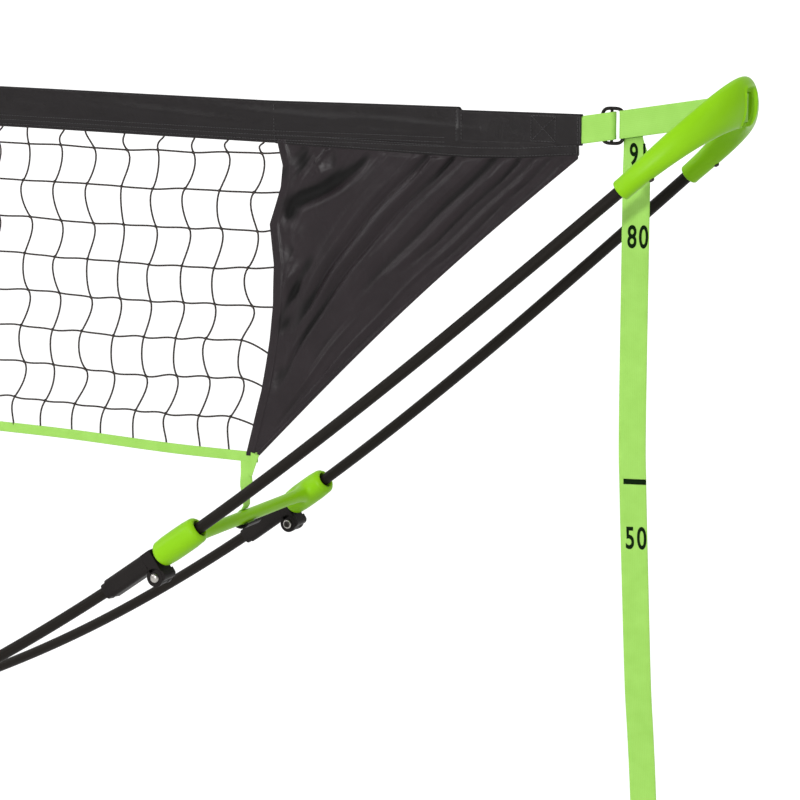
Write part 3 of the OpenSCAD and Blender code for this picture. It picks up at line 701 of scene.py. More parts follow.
def pins():
    """Each pin has a low dome outside, and inside a ring nut round its dark socketed end; a shank joins the two."""
    dome = np.radians(np.linspace(0, 88, 9))
    low = HINGE_HALF
    head = [(-low + 0.0004, PIN_R), (low - 0.0002, PIN_R), (low, PIN_R + 0.0001), (low, HEAD_R - 0.0003),
            (low + 0.0004, HEAD_R)]
    head += [(low + 0.0006 + 0.0024 * math.sin(a), 0.00015 + (HEAD_R - 0.0003) * math.cos(a)) for a in dome]
    top = low + NUT_T
    nut = [(low, PIN_R + 0.0002), (low, HEAD_R - 0.0003), (low + 0.0004, HEAD_R), (top - 0.0008, HEAD_R),
           (top - 0.0002, HEAD_R - 0.0004), (top, HEAD_R - 0.0008), (top, 0.0040), (top - 0.0002, 0.0037),
           (low + 0.0005, 0.0036)]
    core = [(low + 0.0003, 0.0030), (low + 0.0003, 0.0034), (top - 0.0009, 0.0034), (top - 0.0006, 0.0031),
            (top - 0.0006, 0.0023), (top - 0.0007, 0.0021), (low + 0.0006, 0.0020), (low + 0.0005, 0.0003)]
    made = {"pin_head": [], "pin_nut": [], "pin_socket": []}
    for side in (FRONT, REAR):
        at = PIN * [1, side, 1]
        made["pin_head"].append(turned(at, (0, side, 0), head))
        made["pin_nut"].append(turned(at, (0, -side, 0), nut))
        made["pin_socket"].append(turned(at, (0, -side, 0), core, hexed=(5, 6)))
    for name, grids in made.items():
        finish = screw_steel if name == "pin_socket" else pin_steel
        for end, piece in both_ends(name, grids, finish).items():
            piece.data.set_sharp_from_angle(angle=SHARP)
            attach(piece, "frame")
            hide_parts(("hinge_pins_" if name == "pin_head" else "hinge_nuts_") + end)


pins()


# Ring of the hood's skin and point on it that carry the screw
SCREW_RING, SCREW_SIDE = 29, 84


def hood_screws():
    """Pan heads with a six-sided socket, one under each arm: rings along the arm's downward normal."""
    skin, line, _ = hood_skin()
    under = skin[SCREW_RING, SCREW_SIDE]
    down = unit(under - line[SCREW_RING])
    head = [(-0.0030, 0.0021), (-0.0006, 0.0022), (-0.0005, 0.0027), (0.0004, 0.0028), (0.0011, 0.0025),
            (0.0016, 0.0018), (0.0017, 0.0014), (0.0016, 0.0012), (0.0005, 0.0011), (0.0004, 0.0002)]
    grids = [turned(under * [1, flip, 1], down * [1, flip, 1], head, sides=24, hexed=(7, 8)) for flip in (1, -1)]
    pair = both_ends("hood_screw", grids, screw_steel)
    for piece in pair.values():
        piece.data.set_sharp_from_angle(angle=SHARP)
    on_arm(pair, ["hood_screws_{}"])


hood_screws()


SKIN_STEP, RELAX_ROUNDS = 0.0009, 70
FILLET_OUT, FILLET_EASE = 0.021, 0.007      # the fillet's reach from the bar's axis
FILLET_IN, RUN_EASE = 0.040, 0.008          # its reach along the bar from the barrel's axis
BORE_KEEP = 0.0105                          # radius that is left as it is
SKIN_SHARE = 0.12                           # weight away from the fillet


def spreaders():
    """Barrels and bar as one moulding: the solid on a fine grid, relaxed towards the mean of each point's neighbours
    where the bar runs into a barrel, which leaves a hollow fillet. The weight is a product of eased distances: from
    the barrel's axis, from the bar's axis and from the bar's middle. Bores keep their size."""
    mesh = nodes["spreader_right"].data.copy()
    work = bmesh.new()
    work.from_mesh(mesh)
    bmesh.ops.remove_doubles(work, verts=work.verts, dist=1e-6)
    work.to_mesh(mesh)
    work.free()
    made = link("spreader_skin_right", mesh)
    grid = made.modifiers.new("grid", "REMESH")
    grid.mode, grid.voxel_size, grid.use_smooth_shade = "VOXEL", SKIN_STEP, True
    settle(made)
    spots = points_of(made.data).astype(float)
    edges = np.zeros(len(made.data.edges) * 2, np.int32)
    made.data.edges.foreach_get("vertices", edges)
    a, b = edges.reshape(-1, 2).T
    middle = float(np.interp(BAR_SPOT[0], BOW_X, BOW_S))
    low, spot, high = bow_spot(np.array([middle - 0.03, middle, middle + 0.03]), REAR)
    folded = spots * [1, 0, 1] + np.abs(spots) * [0, 1, 0]
    off_barrel = np.linalg.norm(np.cross(folded - spot, unit(high - low)), axis=-1)
    off_bar = np.hypot(spots[:, 0] - BAR_SPOT[0], spots[:, 2] - BAR_SPOT[1])
    fillet = ease((FILLET_OUT - off_bar) / FILLET_EASE) * ease((folded[:, 1] - spot[1] + FILLET_IN) / RUN_EASE)
    weight = 0.5 * (SKIN_SHARE + (1 - SKIN_SHARE) * fillet) * ease((off_barrel - BORE_KEEP) / 0.002)
    share = np.maximum(np.bincount(a, minlength=len(spots)) + np.bincount(b, minlength=len(spots)), 1)
    for _ in range(RELAX_ROUNDS):
        near = np.stack([np.bincount(a, spots[b, k], len(spots)) + np.bincount(b, spots[a, k], len(spots))
                         for k in range(3)], -1) / share[:, None]
        spots = spots + weight[:, None] * (near - spots)
    made.data.vertices.foreach_set("co", spots.astype(np.float32).ravel())
    made.data.update()
    made.data.materials.clear()
    made.data.materials.append(green_plastic)
    on_arm({"left": mirror_image("spreader_skin_left", made), "right": made}, ["spreader_{}"])


spreaders()


# Band and webbing

ARCH_RISE, ARCH_HALF, ARCH_DIP = 0.0102, 1.15, 0.001
HEM_HALF, SLEEVE_MORE, CROWN = 0.0012, 0.0014, 0.0004     # half the hem, what the webbing adds, and its crown
TOP_ROUND, FOOT_ROUND = 0.0026, 0.0012
END_SEAM, SEAM_DIP = 1.3655, 0.0003                       # where the sewn end starts, and how much thinner it is


def arch(x):
    """The tightened net stands a little higher towards its middle: a parabola, less a dip eased in from the ends."""
    away = np.abs(x)
    return ARCH_RISE * np.clip(1 - (away / ARCH_HALF) ** 2, 0, 1) - ARCH_DIP * ease((1.3 - away) / 0.3)


def drift(x):
    """How far the band stands out of the net's plane: two slow waves."""
    return 0.0007 * np.sin(9 * x) + 0.0004 * np.sin(31 * x)


def band_edges(x):
    """Heights of the band's lower and upper edge, which step in at its sewn end."""
    step = ease((x - BAND_STEP[0]) / (BAND_STEP[1] - BAND_STEP[0]))
    low = BAND_LOW + (BAND_END[0] - BAND_LOW) * step
    high = NET_TOP + (BAND_END[1] - NET_TOP) * ease((x - BAND_STEP[1] + 0.004) / 0.003)
    return low + arch(x), high + arch(x)


def band_half(x, z):
    """Half the band's thickness: a thin hem, then full round the webbing, and round at its top and foot."""
    low, high = band_edges(x)
    level = z - arch(x)
    seam = SEAM_DIP * ease((x - END_SEAM) / 0.001)
    full = HEM_HALF + (SLEEVE_MORE - seam) * ease((level - 0.8715) / 0.005)
    full = full + (CROWN - seam) * np.sin(math.pi * np.clip((level - 0.877) / 0.031, 0, 1))
    tip = np.sqrt(np.clip(1 - np.clip((z - high + TOP_ROUND) / TOP_ROUND, 0, 1) ** 2, 0, 1))
    foot = np.sqrt(np.clip(1 - np.clip((low + FOOT_ROUND - z) / FOOT_ROUND, 0, 1) ** 2, 0, 1))
    return full * tip * foot


# X and Z of each crease, half its length, half its width and its rise as a share of the deepest
SLEEVE_CREASES = np.array([
    (1.20, 0.895, 0.10, 0.004, 1.0), (1.275, 0.889, 0.05, 0.003, -0.8), (1.315, 0.893, 0.06, 0.003, 0.7),
    (1.02, 0.893, 0.12, 0.004, 0.7), (0.86, 0.899, 0.10, 0.004, -0.6), (0.70, 0.894, 0.14, 0.004, 0.8),
    (0.47, 0.897, 0.12, 0.004, -0.7), (0.25, 0.893, 0.13, 0.004, 0.7), (0.08, 0.898, 0.10, 0.004, 0.5)])
SLEEVE_RISE = 0.0015


def band_creases(x, z):
    """Shallow creases of the slack sleeve: long lenses that slope down to the right, as bell curves of the
    distance from sloping lines."""
    at_x, at_z, long, wide, rise = SLEEVE_CREASES.T
    dx = x[..., None] - at_x
    dz = (z - arch(x))[..., None] - at_z + 0.06 * dx
    return (SLEEVE_RISE * rise * np.exp(-(dx / long) ** 2 - (dz / wide) ** 2)).sum(-1)


def band():
    """A flattened sleeve between its two edges; both faces stand off the drift by half the thickness."""
    x = np.concatenate([np.linspace(0, 1.34, 190), np.linspace(1.342, 1.39, 50), np.linspace(1.392, NET_HALF, 40)])
    h = 0.5 - 0.5 * np.cos(np.linspace(0, math.pi, 41))
    low, high = band_edges(x)
    z = low[:, None] + (high - low)[:, None] * h
    x = np.broadcast_to(x[:, None], z.shape)
    half, mid = band_half(x, z), drift(x)
    front = np.stack([x, mid - half - np.maximum(band_creases(x, z), -0.0004) * ease(half / 0.002), z], -1)
    rear = np.stack([x, mid + half, z], -1)
    pair = both_ends("band_sleeve", [np.concatenate([front, rear[:, -2:0:-1]], 1)], band_cloth)
    on_net(pair, ["top_band"])


band()


def strap_height(x):
    """Height of the webbing's middle beyond the band's end."""
    return STRAP_Z + np.maximum(x, 0) * STRAP_RISE


def plan_loop(x0, r0, x1, r1, steps=14):
    """Plan of a slack loop round two upright bars: two half circles joined by straight runs."""
    a = np.linspace(-math.pi / 2, math.pi / 2, steps)
    far = np.stack([x1 + r1 * np.cos(a), r1 * np.sin(a)], -1)
    near = np.stack([x0 - r0 * np.cos(a), -r0 * np.sin(a)], -1)
    t = np.linspace(0, 1, 24)[1:-1, None]
    return np.concatenate([far, far[-1] + (near[0] - far[-1]) * t, near, near[-1] + (far[0] - near[-1]) * t])


def strap_loops():
    """Webbing from the buckle round the hood's bar, closed in a loop."""
    plan = plan_loop(END_BAR, 0.0034, HOOD_BAR - 0.0045, BAR_T / 2 + 0.0013)
    path = np.stack([NET_HALF + plan[:, 0], plan[:, 1], strap_height(plan[:, 0])], -1)
    strip = carried_round(path, (0, 0, 1), flat(STRAP_W, STRAP_T))
    pair = both_ends("strap_loop", [strip], green_webbing, loop=True)
    on_arm(pair, ["adjusting_strap_{}"])


def band_webbing():
    """Webbing in the band, looped round the buckle's middle bar."""
    plan = plan_loop(0, 0.0009, MID_BAR, 0.0034)
    plan = plan[plan[:, 0] >= 1e-9]
    start = np.argmin(np.abs(plan[:, 0]) + (plan[:, 1] > 0))
    plan = np.roll(plan, -start, 0)
    inner = np.linspace(-NET_HALF, -0.01, 60)
    inner = np.stack([inner, np.full(60, plan[0, 1])], -1)
    plan = np.concatenate([inner, plan, inner[::-1] * [1, -1]])
    x = NET_HALF + plan[:, 0]
    path = np.stack([x, plan[:, 1] + drift(x), strap_height(plan[:, 0]) + arch(x)], -1)
    pair = both_ends("band_webbing", [carried(path, (0, 0, 1), flat(STRAP_W, STRAP_T))], green_webbing)
    on_net(pair, ["top_webbing"])


strap_loops()
band_webbing()


SLIDE_HALF = (0.0113, 0.0163)       # half length and half height of the slide's frame
SLIDE_WIRE = (0.0021, 0.0017)
SLIDE_BAR_R = 0.0015


def buckles():
    """A slide: a rounded frame of round wire, whose rails bow out, with a bar across its middle."""
    half_l, half_h = SLIDE_HALF
    centre = BUCKLE_AT + 0.013
    x, z = (boxed(ring(96, 1.0), 0.45) * [half_l, half_h]).T
    z = z * (1 + 0.045 * (1 - (x / half_l) ** 2))
    path = np.stack([NET_HALF + centre + x, 0 * x, strap_height(centre) + z], -1)
    wire_frame = carried_round(path, (0, 1, 0), ring(16, 1.0) * SLIDE_WIRE)
    rails = both_ends("buckle_frame", [wire_frame], black_plastic, loop=True)
    on_net(rails, ["buckle_{}"])
    bar_z = np.linspace(-half_h, half_h, 9)
    bar_path = np.stack([NET_HALF + MID_BAR + 0 * bar_z, 0 * bar_z, strap_height(MID_BAR) + bar_z], -1)
    bars = both_ends("buckle_bar", [carried(bar_path, (1, 0, 0), ring(16, SLIDE_BAR_R))], black_plastic)
    on_net(bars)


buckles()


# Mesh

PITCH, ROW_PITCH, FIRST_ROW = 0.04195, 0.0409, 0.8504
COLUMNS, ROWS = 27, 8
CORD_R, CORD_GAP = 0.00104, 0.0005
KNOT_SHIFT, CORD_BOW = 0.0040, 5.4                     # sideways shift of the knots, and how far cords bow by it
DRAW_IN, DRAW_POWER = 0.0335, 1.6                      # how the columns draw in towards the foot
KNOT = (0.0019, 0.0016, 0.0019)
ROW_LIFT = 0.001 * np.array([5.0, 5.0, 5.4, 5.4, 7.6, 10.4, 9.8, 7.4])         # rise of each row beside the wing
ROW_END = 0.001 * np.array([1.8, 1.8, 2.2, 2.4, 0.2, -15.0, -10.0, -9.0])      # from the last knot to the wing
chance = np.random.default_rng(7)


def hermite(points, tangents, steps):
    """Cubic curves through points with given tangents: h00 P + h10 T + h01 P' + h11 T'."""
    t = np.linspace(0, 1, steps, endpoint=False)[:, None]
    a, b = 2 * t ** 3 - 3 * t ** 2 + 1, t ** 3 - 2 * t ** 2 + t
    c, d = 3 * t ** 2 - 2 * t ** 3, t ** 3 - t ** 2
    p, q = points[..., :-1, None, :], points[..., 1:, None, :]
    m, n = tangents[..., :-1, None, :], tangents[..., 1:, None, :]
    curve = a * p + b * m + c * q + d * n
    curve = curve.reshape(*points.shape[:-2], -1, 2)
    return np.concatenate([curve, points[..., -1:, :]], -2)


def wing_inner(z):
    """X of the wing's wavy inner edge at height z."""
    heights = [0.534, 0.603, 0.6595, 0.697, 0.7396, 0.7814, 0.8208, 0.844, 0.8655]
    return np.interp(z, heights, [1.1153, 1.1346, 1.145, 1.1503, 1.1519, 1.1463, 1.16, 1.1632, 1.158])


def wing_edge(z):
    """How far the wing's inner edge stands out of the net's plane."""
    return 0.0012 * np.sin(40 * z + 1) * ease((z - 0.55) / 0.08)


def sway(x, z):
    """How far the slack mesh stands out of the net's plane."""
    return 0.004 * np.sin(7 * x + 4 * z) + 0.002 * np.sin(17 * x - 11 * z)


def knots():
    """Places of the knots [column, row, xz]: even rows and columns, drawn in towards the foot and lifted beside the
    wing, each a little off."""
    row = np.arange(ROWS)
    down = row * ROW_PITCH / (FIRST_ROW - TAPE_TOP)
    column = np.arange(COLUMNS + 1)[:, None]
    off = KNOT_SHIFT * np.where(row % 2 == 0, 1, -1) * chance.uniform(0.45, 1.25, (COLUMNS + 1, ROWS))
    x = column * PITCH * (1 - DRAW_IN * down ** DRAW_POWER) + off * (column > 0)
    z = FIRST_ROW - row * ROW_PITCH + chance.uniform(-0.0012, 0.0012, x.shape)
    return np.stack([x, z + arch(x) + ROW_LIFT * ease((column - COLUMNS + 4.3) / 4.6)], -1), off


def mesh_paths():
    """Middle lines of the upright cords, from band to tape, and of the level cords, from the middle to the wing."""
    spot, off = knots()
    top = np.stack([spot[:, 0, 0] + chance.uniform(-0.012, 0.012, COLUMNS + 1) * (np.arange(COLUMNS + 1) > 0),
                    BAND_LOW + 0.002 + arch(spot[:, 0, 0])], -1)
    foot = np.stack([spot[:, -1, 0] + chance.uniform(-0.008, 0.001, COLUMNS + 1) * (np.arange(COLUMNS + 1) > 0),
                     TAPE_TOP - 0.002 + arch(spot[:, -1, 0])], -1)
    upright = np.concatenate([top[:, None], spot, foot[:, None]], 1)
    slope = np.zeros_like(upright)
    slope[:, 1:-1, 0] = CORD_BOW * off * np.random.default_rng(5).uniform(0.7, 1.35, off.shape)
    slope[0, :, 0] = 0
    slope[:, 1:-1, 1] = -0.75 * ROW_PITCH
    slope[:, 0, 1], slope[:, -1, 1] = -0.4 * ROW_PITCH, -0.7 * ROW_PITCH
    ends = spot[-1, :, 1] + ROW_END
    last = np.stack([wing_inner(ends) + 0.007, ends], -1)
    level = np.concatenate([spot.transpose(1, 0, 2), last[:, None]], 1)
    tilt = np.zeros_like(level)
    tilt[..., 0] = 0.95 * PITCH
    tilt[:, :, 1] = -np.linspace(0.001, 0.009, ROWS)[:, None] * chance.uniform(0.6, 1.2, level.shape[:2])
    tilt[:, 0, 1] = 0
    tilt[:, -1, 0] = 0.5 * PITCH
    return hermite(upright, slope, 9), hermite(level, tilt, 9), spot


def in_space(paths, shift):
    """Paths [.., xz] given the depth that the slack mesh has there."""
    x, z = paths[..., 0], paths[..., 1]
    slack = ease((0.86 - z) / 0.05) * ease((z - 0.54) / 0.05) * ease((1.135 - x) / 0.05)
    return np.stack([x, sway(x, z) * slack + wing_edge(z) * ease((x - 1.10) / 0.04) + shift, z], -1)


def knot_balls(spot):
    """Small ovals at the knots, as grids from pole to pole."""
    lat = np.linspace(-1.45, 1.45, 5)
    lon = np.arange(6) * math.pi / 3
    ball = np.stack([np.cos(lat)[:, None] * np.cos(lon), -np.cos(lat)[:, None] * np.sin(lon),
                     np.broadcast_to(np.sin(lat)[:, None], (5, 6))], -1) * KNOT
    centre = in_space(spot.reshape(-1, 2), 0.0)
    return [c + ball for c in centre]


def net_cords():
    """The mesh: twisted cord on both sets of lines and a knot at each crossing."""
    upright, level, spot = mesh_paths()
    upright, level = in_space(upright, CORD_GAP), in_space(level, -CORD_GAP)
    grids = [carried(p, (0, 1, 0), ring(7, CORD_R)) for p in [*upright, *level]]
    pair = both_ends("mesh_cords", grids + knot_balls(spot), net_cord)
    on_net(pair, ["net_mesh"])


net_cords()


# Tape, wings and ties

TAPE_CUT, TIE_CUT = (0.0112, 0.0016), (0.0135, 0.0012)     # width and thickness
TAPE_END = 1.1285
TAB_TOP, TAB_RUN = (1.1262, -0.0017, 0.5345), (-0.0062, 0.0002, -0.026)
TIE_R = 0.0079                                             # of the tie's way round the bar


def foot_tape():
    """The green tape along the mesh's foot: a flat strip with a slow wave, and a tapered tab at its end."""
    x = np.linspace(0, TAPE_END, 160)
    z = TAPE_MID + arch(x) + 0.0006 * np.sin(23 * x)
    path = np.stack([x, 0.0012 * np.sin(11 * x) * ease((1.12 - x) / 0.1), z], -1)
    profile = flat(*TAPE_CUT)
    t = np.linspace(0, 1, 12)[:, None]
    tab = np.array(TAB_TOP) + np.array(TAB_RUN) * t
    tab_cut = flat(0.0105, 0.0012)[None] * np.stack([1 - 0.72 * t, 1 + 0 * t], -1)
    grids = [carried(path, (0, 0, 1), profile), carried(tab, (1, 0, 0), tab_cut)]
    pair = both_ends("foot_tape", grids, green_webbing)
    on_net(pair, ["bottom_tape"])


foot_tape()


HEM_ENDS = (1.1546, 1.4965)                            # X of the hem strip's ends
WING_TOP, WING_FOOT = (1.496, 0.864), (1.1305, 0.5325)    # X and Z of the slanting edge's ends
WING_DROP = 0.04                                       # share of the outer edge that goes straight down
FOLD_ROOT = (1.126, 0.528)                             # X and Z where the long creases meet
FOLD_RUN = (0.741, 0.672)                              # heading of the long creases in X and Z
GATHERS = 34


def wing_outer(v):
    """The outer edge: a short drop at the band's end, then a slant to the bottom corner, bowed in a little."""
    (x0, z0), (x1, z1) = WING_TOP, WING_FOOT
    t = np.clip((v - WING_DROP) / (1 - WING_DROP), 0, 1)
    x = x0 + (x1 - x0) * t
    z = z0 + (z1 - z0) * t + 0.011 * np.sin(math.pi * t)
    short = v < WING_DROP
    return np.where(short, x0, x), np.where(short, 0.877 - 0.013 * v / WING_DROP, z)


def hem_foot(x):
    """Height of the lower edge of the hem strip that joins wing and band."""
    return np.interp(x, [HEM_ENDS[0], 1.378, 1.433, HEM_ENDS[1]], [0.8660, 0.8606, 0.8622, 0.8672])


# Long creases in millimetres: place across the run, start and end along it, half width, depth seen from the front
CREASES = np.array([
    (117, 110, 470, 3.4, 3.6), (128, 120, 430, 3.6, -2.4), (106, 130, 460, 3.4, -2.6), (95, 60, 490, 3.2, 3.4),
    (80, 150, 470, 6.0, -2.4), (63, 180, 520, 4.0, 3.4), (72, 260, 500, 2.4, -1.4), (51, 220, 520, 3.2, -2.0),
    (42, 250, 540, 2.6, 2.6), (38, 20, 150, 2.6, 2.6), (87, 240, 480, 2.4, 1.6), (140, 130, 400, 4.0, -1.6),
    (150, 90, 250, 3.4, 2.6), (165, 100, 230, 3.2, -2.2), (178, 120, 250, 3.2, 2.2), (26, 60, 520, 2.6, -1.8),
    (16, 30, 300, 2.4, 2.2), (6, 40, 260, 2.2, -1.2), (33, 280, 540, 2.4, 1.8), (21, 260, 560, 2.4, 2.2),
    (10, 300, 560, 2.4, 1.6), (57, 90, 240, 2.4, 2.0), (46, 60, 260, 2.4, -1.8), (30, 60, 240, 2.4, 1.8)]) / 1000
# Crumples: X and Z, half length and half width in metres, angle in degrees, depth in millimetres
CRUMPLES = np.array([
    (1.190, 0.813, 0.026, 0.0095, 20, 5.6), (1.222, 0.828, 0.022, 0.0085, 28, 5.0),
    (1.250, 0.847, 0.022, 0.0060, 38, 3.8), (1.205, 0.804, 0.034, 0.0080, 25, -3.0),
    (1.243, 0.825, 0.032, 0.0080, 35, -3.0), (1.196, 0.829, 0.020, 0.0060, 30, -2.4),
    (1.186, 0.850, 0.016, 0.0060, 60, 3.0), (1.205, 0.846, 0.010, 0.0040, -70, -1.8),
    (1.176, 0.790, 0.014, 0.0050, 60, 2.2), (1.178, 0.770, 0.022, 0.0080, 65, -2.8),
    (1.194, 0.740, 0.024, 0.0070, 55, 3.4), (1.170, 0.725, 0.018, 0.0060, 50, -2.2),
    (1.184, 0.700, 0.020, 0.0060, 60, 2.0), (1.163, 0.676, 0.014, 0.0050, 55, 2.0),
    (1.172, 0.650, 0.018, 0.0050, 60, -1.7), (1.156, 0.622, 0.016, 0.0050, 65, 1.6),
    (1.165, 0.835, 0.008, 0.0050, 80, 1.5), (1.222, 0.852, 0.012, 0.0050, 75, 1.6),
    (1.250, 0.786, 0.070, 0.0280, 47, -3.2), (1.168, 0.793, 0.010, 0.0050, 70, 3.0),
    (1.171, 0.759, 0.012, 0.0060, 75, 3.0), (1.176, 0.712, 0.012, 0.0045, 60, 2.6)])
CRUMPLE_DEPTH = 1.3
# Painted shade in the wing's valleys starts SHADE_FROM deep and is full SHADE_OVER deeper.
SHADE_FROM, SHADE_OVER = 0.0006, 0.0028     # depth where a valley starts to darken, and what it takes


def wing_folds(x, z):
    """How far the wing's cloth stands out. Long creases lie along the slanting edge and draw together at the bottom
    corner: each is a bell 1 / (1 + (d / w)^2) across its line, and fades at both ends of its reach. Short gathers
    hang from the hem, and crumples by the inner edge are turned bells."""
    dx, dz = x - FOLD_ROOT[0], z - FOLD_ROOT[1]
    along, off = FOLD_RUN[0] * dx + FOLD_RUN[1] * dz, -FOLD_RUN[1] * dx + FOLD_RUN[0] * dz
    draw = 1 - np.exp(-np.maximum(along, 0.002) / 0.13)
    wave = 0.0012 * np.sin(19 * along) + 0.0007 * np.sin(57 * along + 60 * off)
    place, near, far, wide, tall = CREASES.T
    gap = off[..., None] + wave[..., None] - place * draw[..., None]
    fade = ease((along[..., None] - near) / 0.07) * ease((far - along[..., None]) / 0.11)
    y = 1000 * (tall * fade / (1 + (gap / wide) ** 2)).sum(-1)
    pick = np.random.default_rng(11)
    spot = np.sort(pick.uniform(1.18, 1.47, GATHERS))
    thin, high, reach = (pick.uniform(*ends, GATHERS) for ends in ((0.0018, 0.0034), (-1.6, 1.6), (0.012, 0.055)))
    down = np.maximum(hem_foot(x) - z, 0)
    lean = x + 0.85 * down
    y = y + (high * np.exp(-((lean[..., None] - spot) / thin) ** 2 - down[..., None] / reach)).sum(-1)
    for cx, cz, long, narrow, angle, rise in CRUMPLES:
        c, s = math.cos(math.radians(angle)), math.sin(math.radians(angle))
        p, q = (x - cx) * c + (z - cz) * s, -(x - cx) * s + (z - cz) * c
        y = y + CRUMPLE_DEPTH * rise * np.exp(-(p / long) ** 2) / (1 + (q / narrow) ** 2)
    return 0.001 * y


def wings():
    """Cloth between the wavy inner edge and the slanting one, flat at its hems, with folds between."""
    v = np.concatenate([np.linspace(0, WING_DROP, 12), np.linspace(0.045, 1, 230)])[:, None]
    u = np.linspace(0, 1, 200)[None]
    z_in = BAND_LOW + 0.004 + (TAPE_TOP - 0.008 - BAND_LOW) * v
    x_in = wing_inner(z_in)
    x_out, z_out = wing_outer(v)
    x = x_in + (x_out - x_in) * u
    z = z_in + (z_out - z_in) * u
    calm = ease((x - x_in - 0.008) / 0.010) * ease((x_out - x - 0.004) / 0.010)
    calm = calm * ease((hem_foot(x) - z) / 0.004) * ease((1 - v) / 0.06)
    y = calm * wing_folds(x, z) + wing_edge(z) * (1 - ease((x - x_in - 0.010) / 0.03))
    edge = 0.0005 + 0.0012 * (1 - ease((x - x_in - 0.009) / 0.002)) + 0.0005 * ease((0.006 - (x_out - x)) / 0.002)
    both = np.concatenate([np.stack([x, y - edge, z], -1), np.stack([x, y + edge, z], -1)[:, ::-1]], 1)
    pair = both_ends("wing_cloth", [both], black_cloth)
    on_net(pair, ["wing_{}"])
    # The crease attribute marks the deeper valleys of the folds, where the cloth's colour takes painted shade.
    for cloth in pair.values():
        across, _, up = np.abs(points_of(cloth.data)).T.astype(float)
        deep = ease((wing_folds(across, up) - SHADE_FROM) / SHADE_OVER).astype(np.float32)
        cloth.data.attributes.new("crease", "FLOAT", "POINT").data.foreach_set("value", deep)


def hem_strips():
    """The hem between wing and band: a flat folded strip along the hem's line, as tall as the gap to the band."""
    x = np.linspace(*HEM_ENDS, 160)
    low = hem_foot(x)
    rise = np.maximum(0.0125, band_edges(x)[0] + 0.003 - low)
    path = np.stack([x, drift(x) * 0.7, low + rise / 2], -1)
    profile = flat(1.0, 0.26)[None] * rise[:, None, None]
    pair = both_ends("hem_strip", [carried(path, (0, 0, 1), profile)], band_cloth)
    on_net(pair)


hem_strips()
wings()


def corner_ties():
    """Tape from the net's corner down to the bar: flat to the front at the top, a quarter twist, and round the bar's
    inner side into the clip below."""
    x0, z0 = BAR_SPOT
    drop = np.linspace(0, 1, 40)
    z_top, z_low = TAPE_MID + 0.003, z0 + 0.012
    straight = np.stack([np.full(40, x0), 0 * drop, z_top + (z_low - z_top) * drop], -1)
    a = np.linspace(0.35, 1.25 * math.pi, 40)
    around = np.stack([x0 - TIE_R * np.sin(a), 0 * a, z0 + TIE_R * np.cos(a)], -1)
    lead = np.linspace(0, 1, 6)[1:-1, None]
    path = np.concatenate([straight, straight[-1] + (around[0] - straight[-1]) * lead, around])
    twist = math.pi / 2 * ease((np.arange(len(path)) - 14) / 22)
    across = np.stack([np.cos(twist), np.sin(twist), 0 * twist], -1)
    pair = both_ends("corner_tape", [carried(path, across, flat(*TIE_CUT))], green_webbing)
    on_arm(pair, ["corner_tie_{}"])


corner_ties()


# Stitches and marks

STITCH, THREAD_R = 0.0034, 0.00028
SEAMS = (HEM_ENDS[0], 1.3648, 1.3702)
BOX_X, BOX_Z = (1.4464, 1.4722), (0.880, 0.905)


def stitches(name, lines):
    """Rows of short threads: each stitch is an arched strand of four rings along its line."""
    grids = []
    for line, lift in lines:
        line = np.asarray(line, float)
        s = run(line)
        count = max(1, int(s[-1] / STITCH))
        for start in np.linspace(0, s[-1], count, endpoint=False):
            at = start + STITCH * np.array([0.08, 0.3, 0.6, 0.82])
            path = np.stack([np.interp(at, s, line[:, k]) for k in range(3)], -1)
            path = path + np.array(lift) * np.array([-0.2, 1, 1, -0.2])[:, None]
            grids.append(carried(path, (0.3, 0.9, 0.3), ring(5, THREAD_R)))
    pair = both_ends(name, grids, grey_thread)
    on_net(pair)


def on_band(x, z):
    """Points on the band's front face."""
    return np.stack([x, drift(x) - band_half(x, z) - 0.0001, z], -1)


def band_stitches():
    """Rows on the band's hem, at its seams and step, a crossed box at its end, and two rows on the hem strip."""
    out = (0, -0.0004, 0)
    x = np.linspace(0.005, 1.352, 240)
    low, _ = band_edges(x)
    lines = [(on_band(x, low + up), out) for up in (0.0035, 0.0082, 0.0128)]
    for seam in SEAMS:
        low, high = band_edges(np.array([seam]))
        z = np.linspace(low[0] + 0.002, high[0] - 0.003, 24)
        lines.append((on_band(0 * z + seam, z), out))
    (x0, x1), (z0, z1) = BOX_X, BOX_Z
    box = [(x0, z0), (x1, z0), (x1, z1), (x0, z1), (x0, z0), (x1, z1)]
    for trace in (box, [(x0, z1), (x1, z0)]):
        spot = np.array(trace)
        t = np.linspace(0, len(spot) - 1, 12 * len(spot) - 11)
        px, pz = (np.interp(t, np.arange(len(spot)), spot[:, k]) for k in (0, 1))
        lines.append((on_band(px, pz), out))
    end = np.linspace(0.879, 0.906, 12)
    lines.append((on_band(0 * end + 1.4962, end), out))
    hem = np.linspace(1.157, 1.495, 60)
    for up in (0.0022, 0.0100):
        lines.append((np.stack([hem, drift(hem) * 0.7 - 0.0023, hem_foot(hem) + up], -1), out))
    stitches("band_stitches", lines)


band_stitches()


# Numbers with X, Z and size, and the dash with X, Z, width and height
NUMBERS = (("91", 1.5585, 0.8695, 0.0215), ("80", 1.5580, 0.789, 0.0225), ("50", 1.5576, 0.4850, 0.0235))
DASH = (1.5577, 0.545, 0.0226, 0.0056)
DIGIT_WIDTH, DIGIT_SIZE, INK_PROUD = 0.61, 1.38, 0.00025


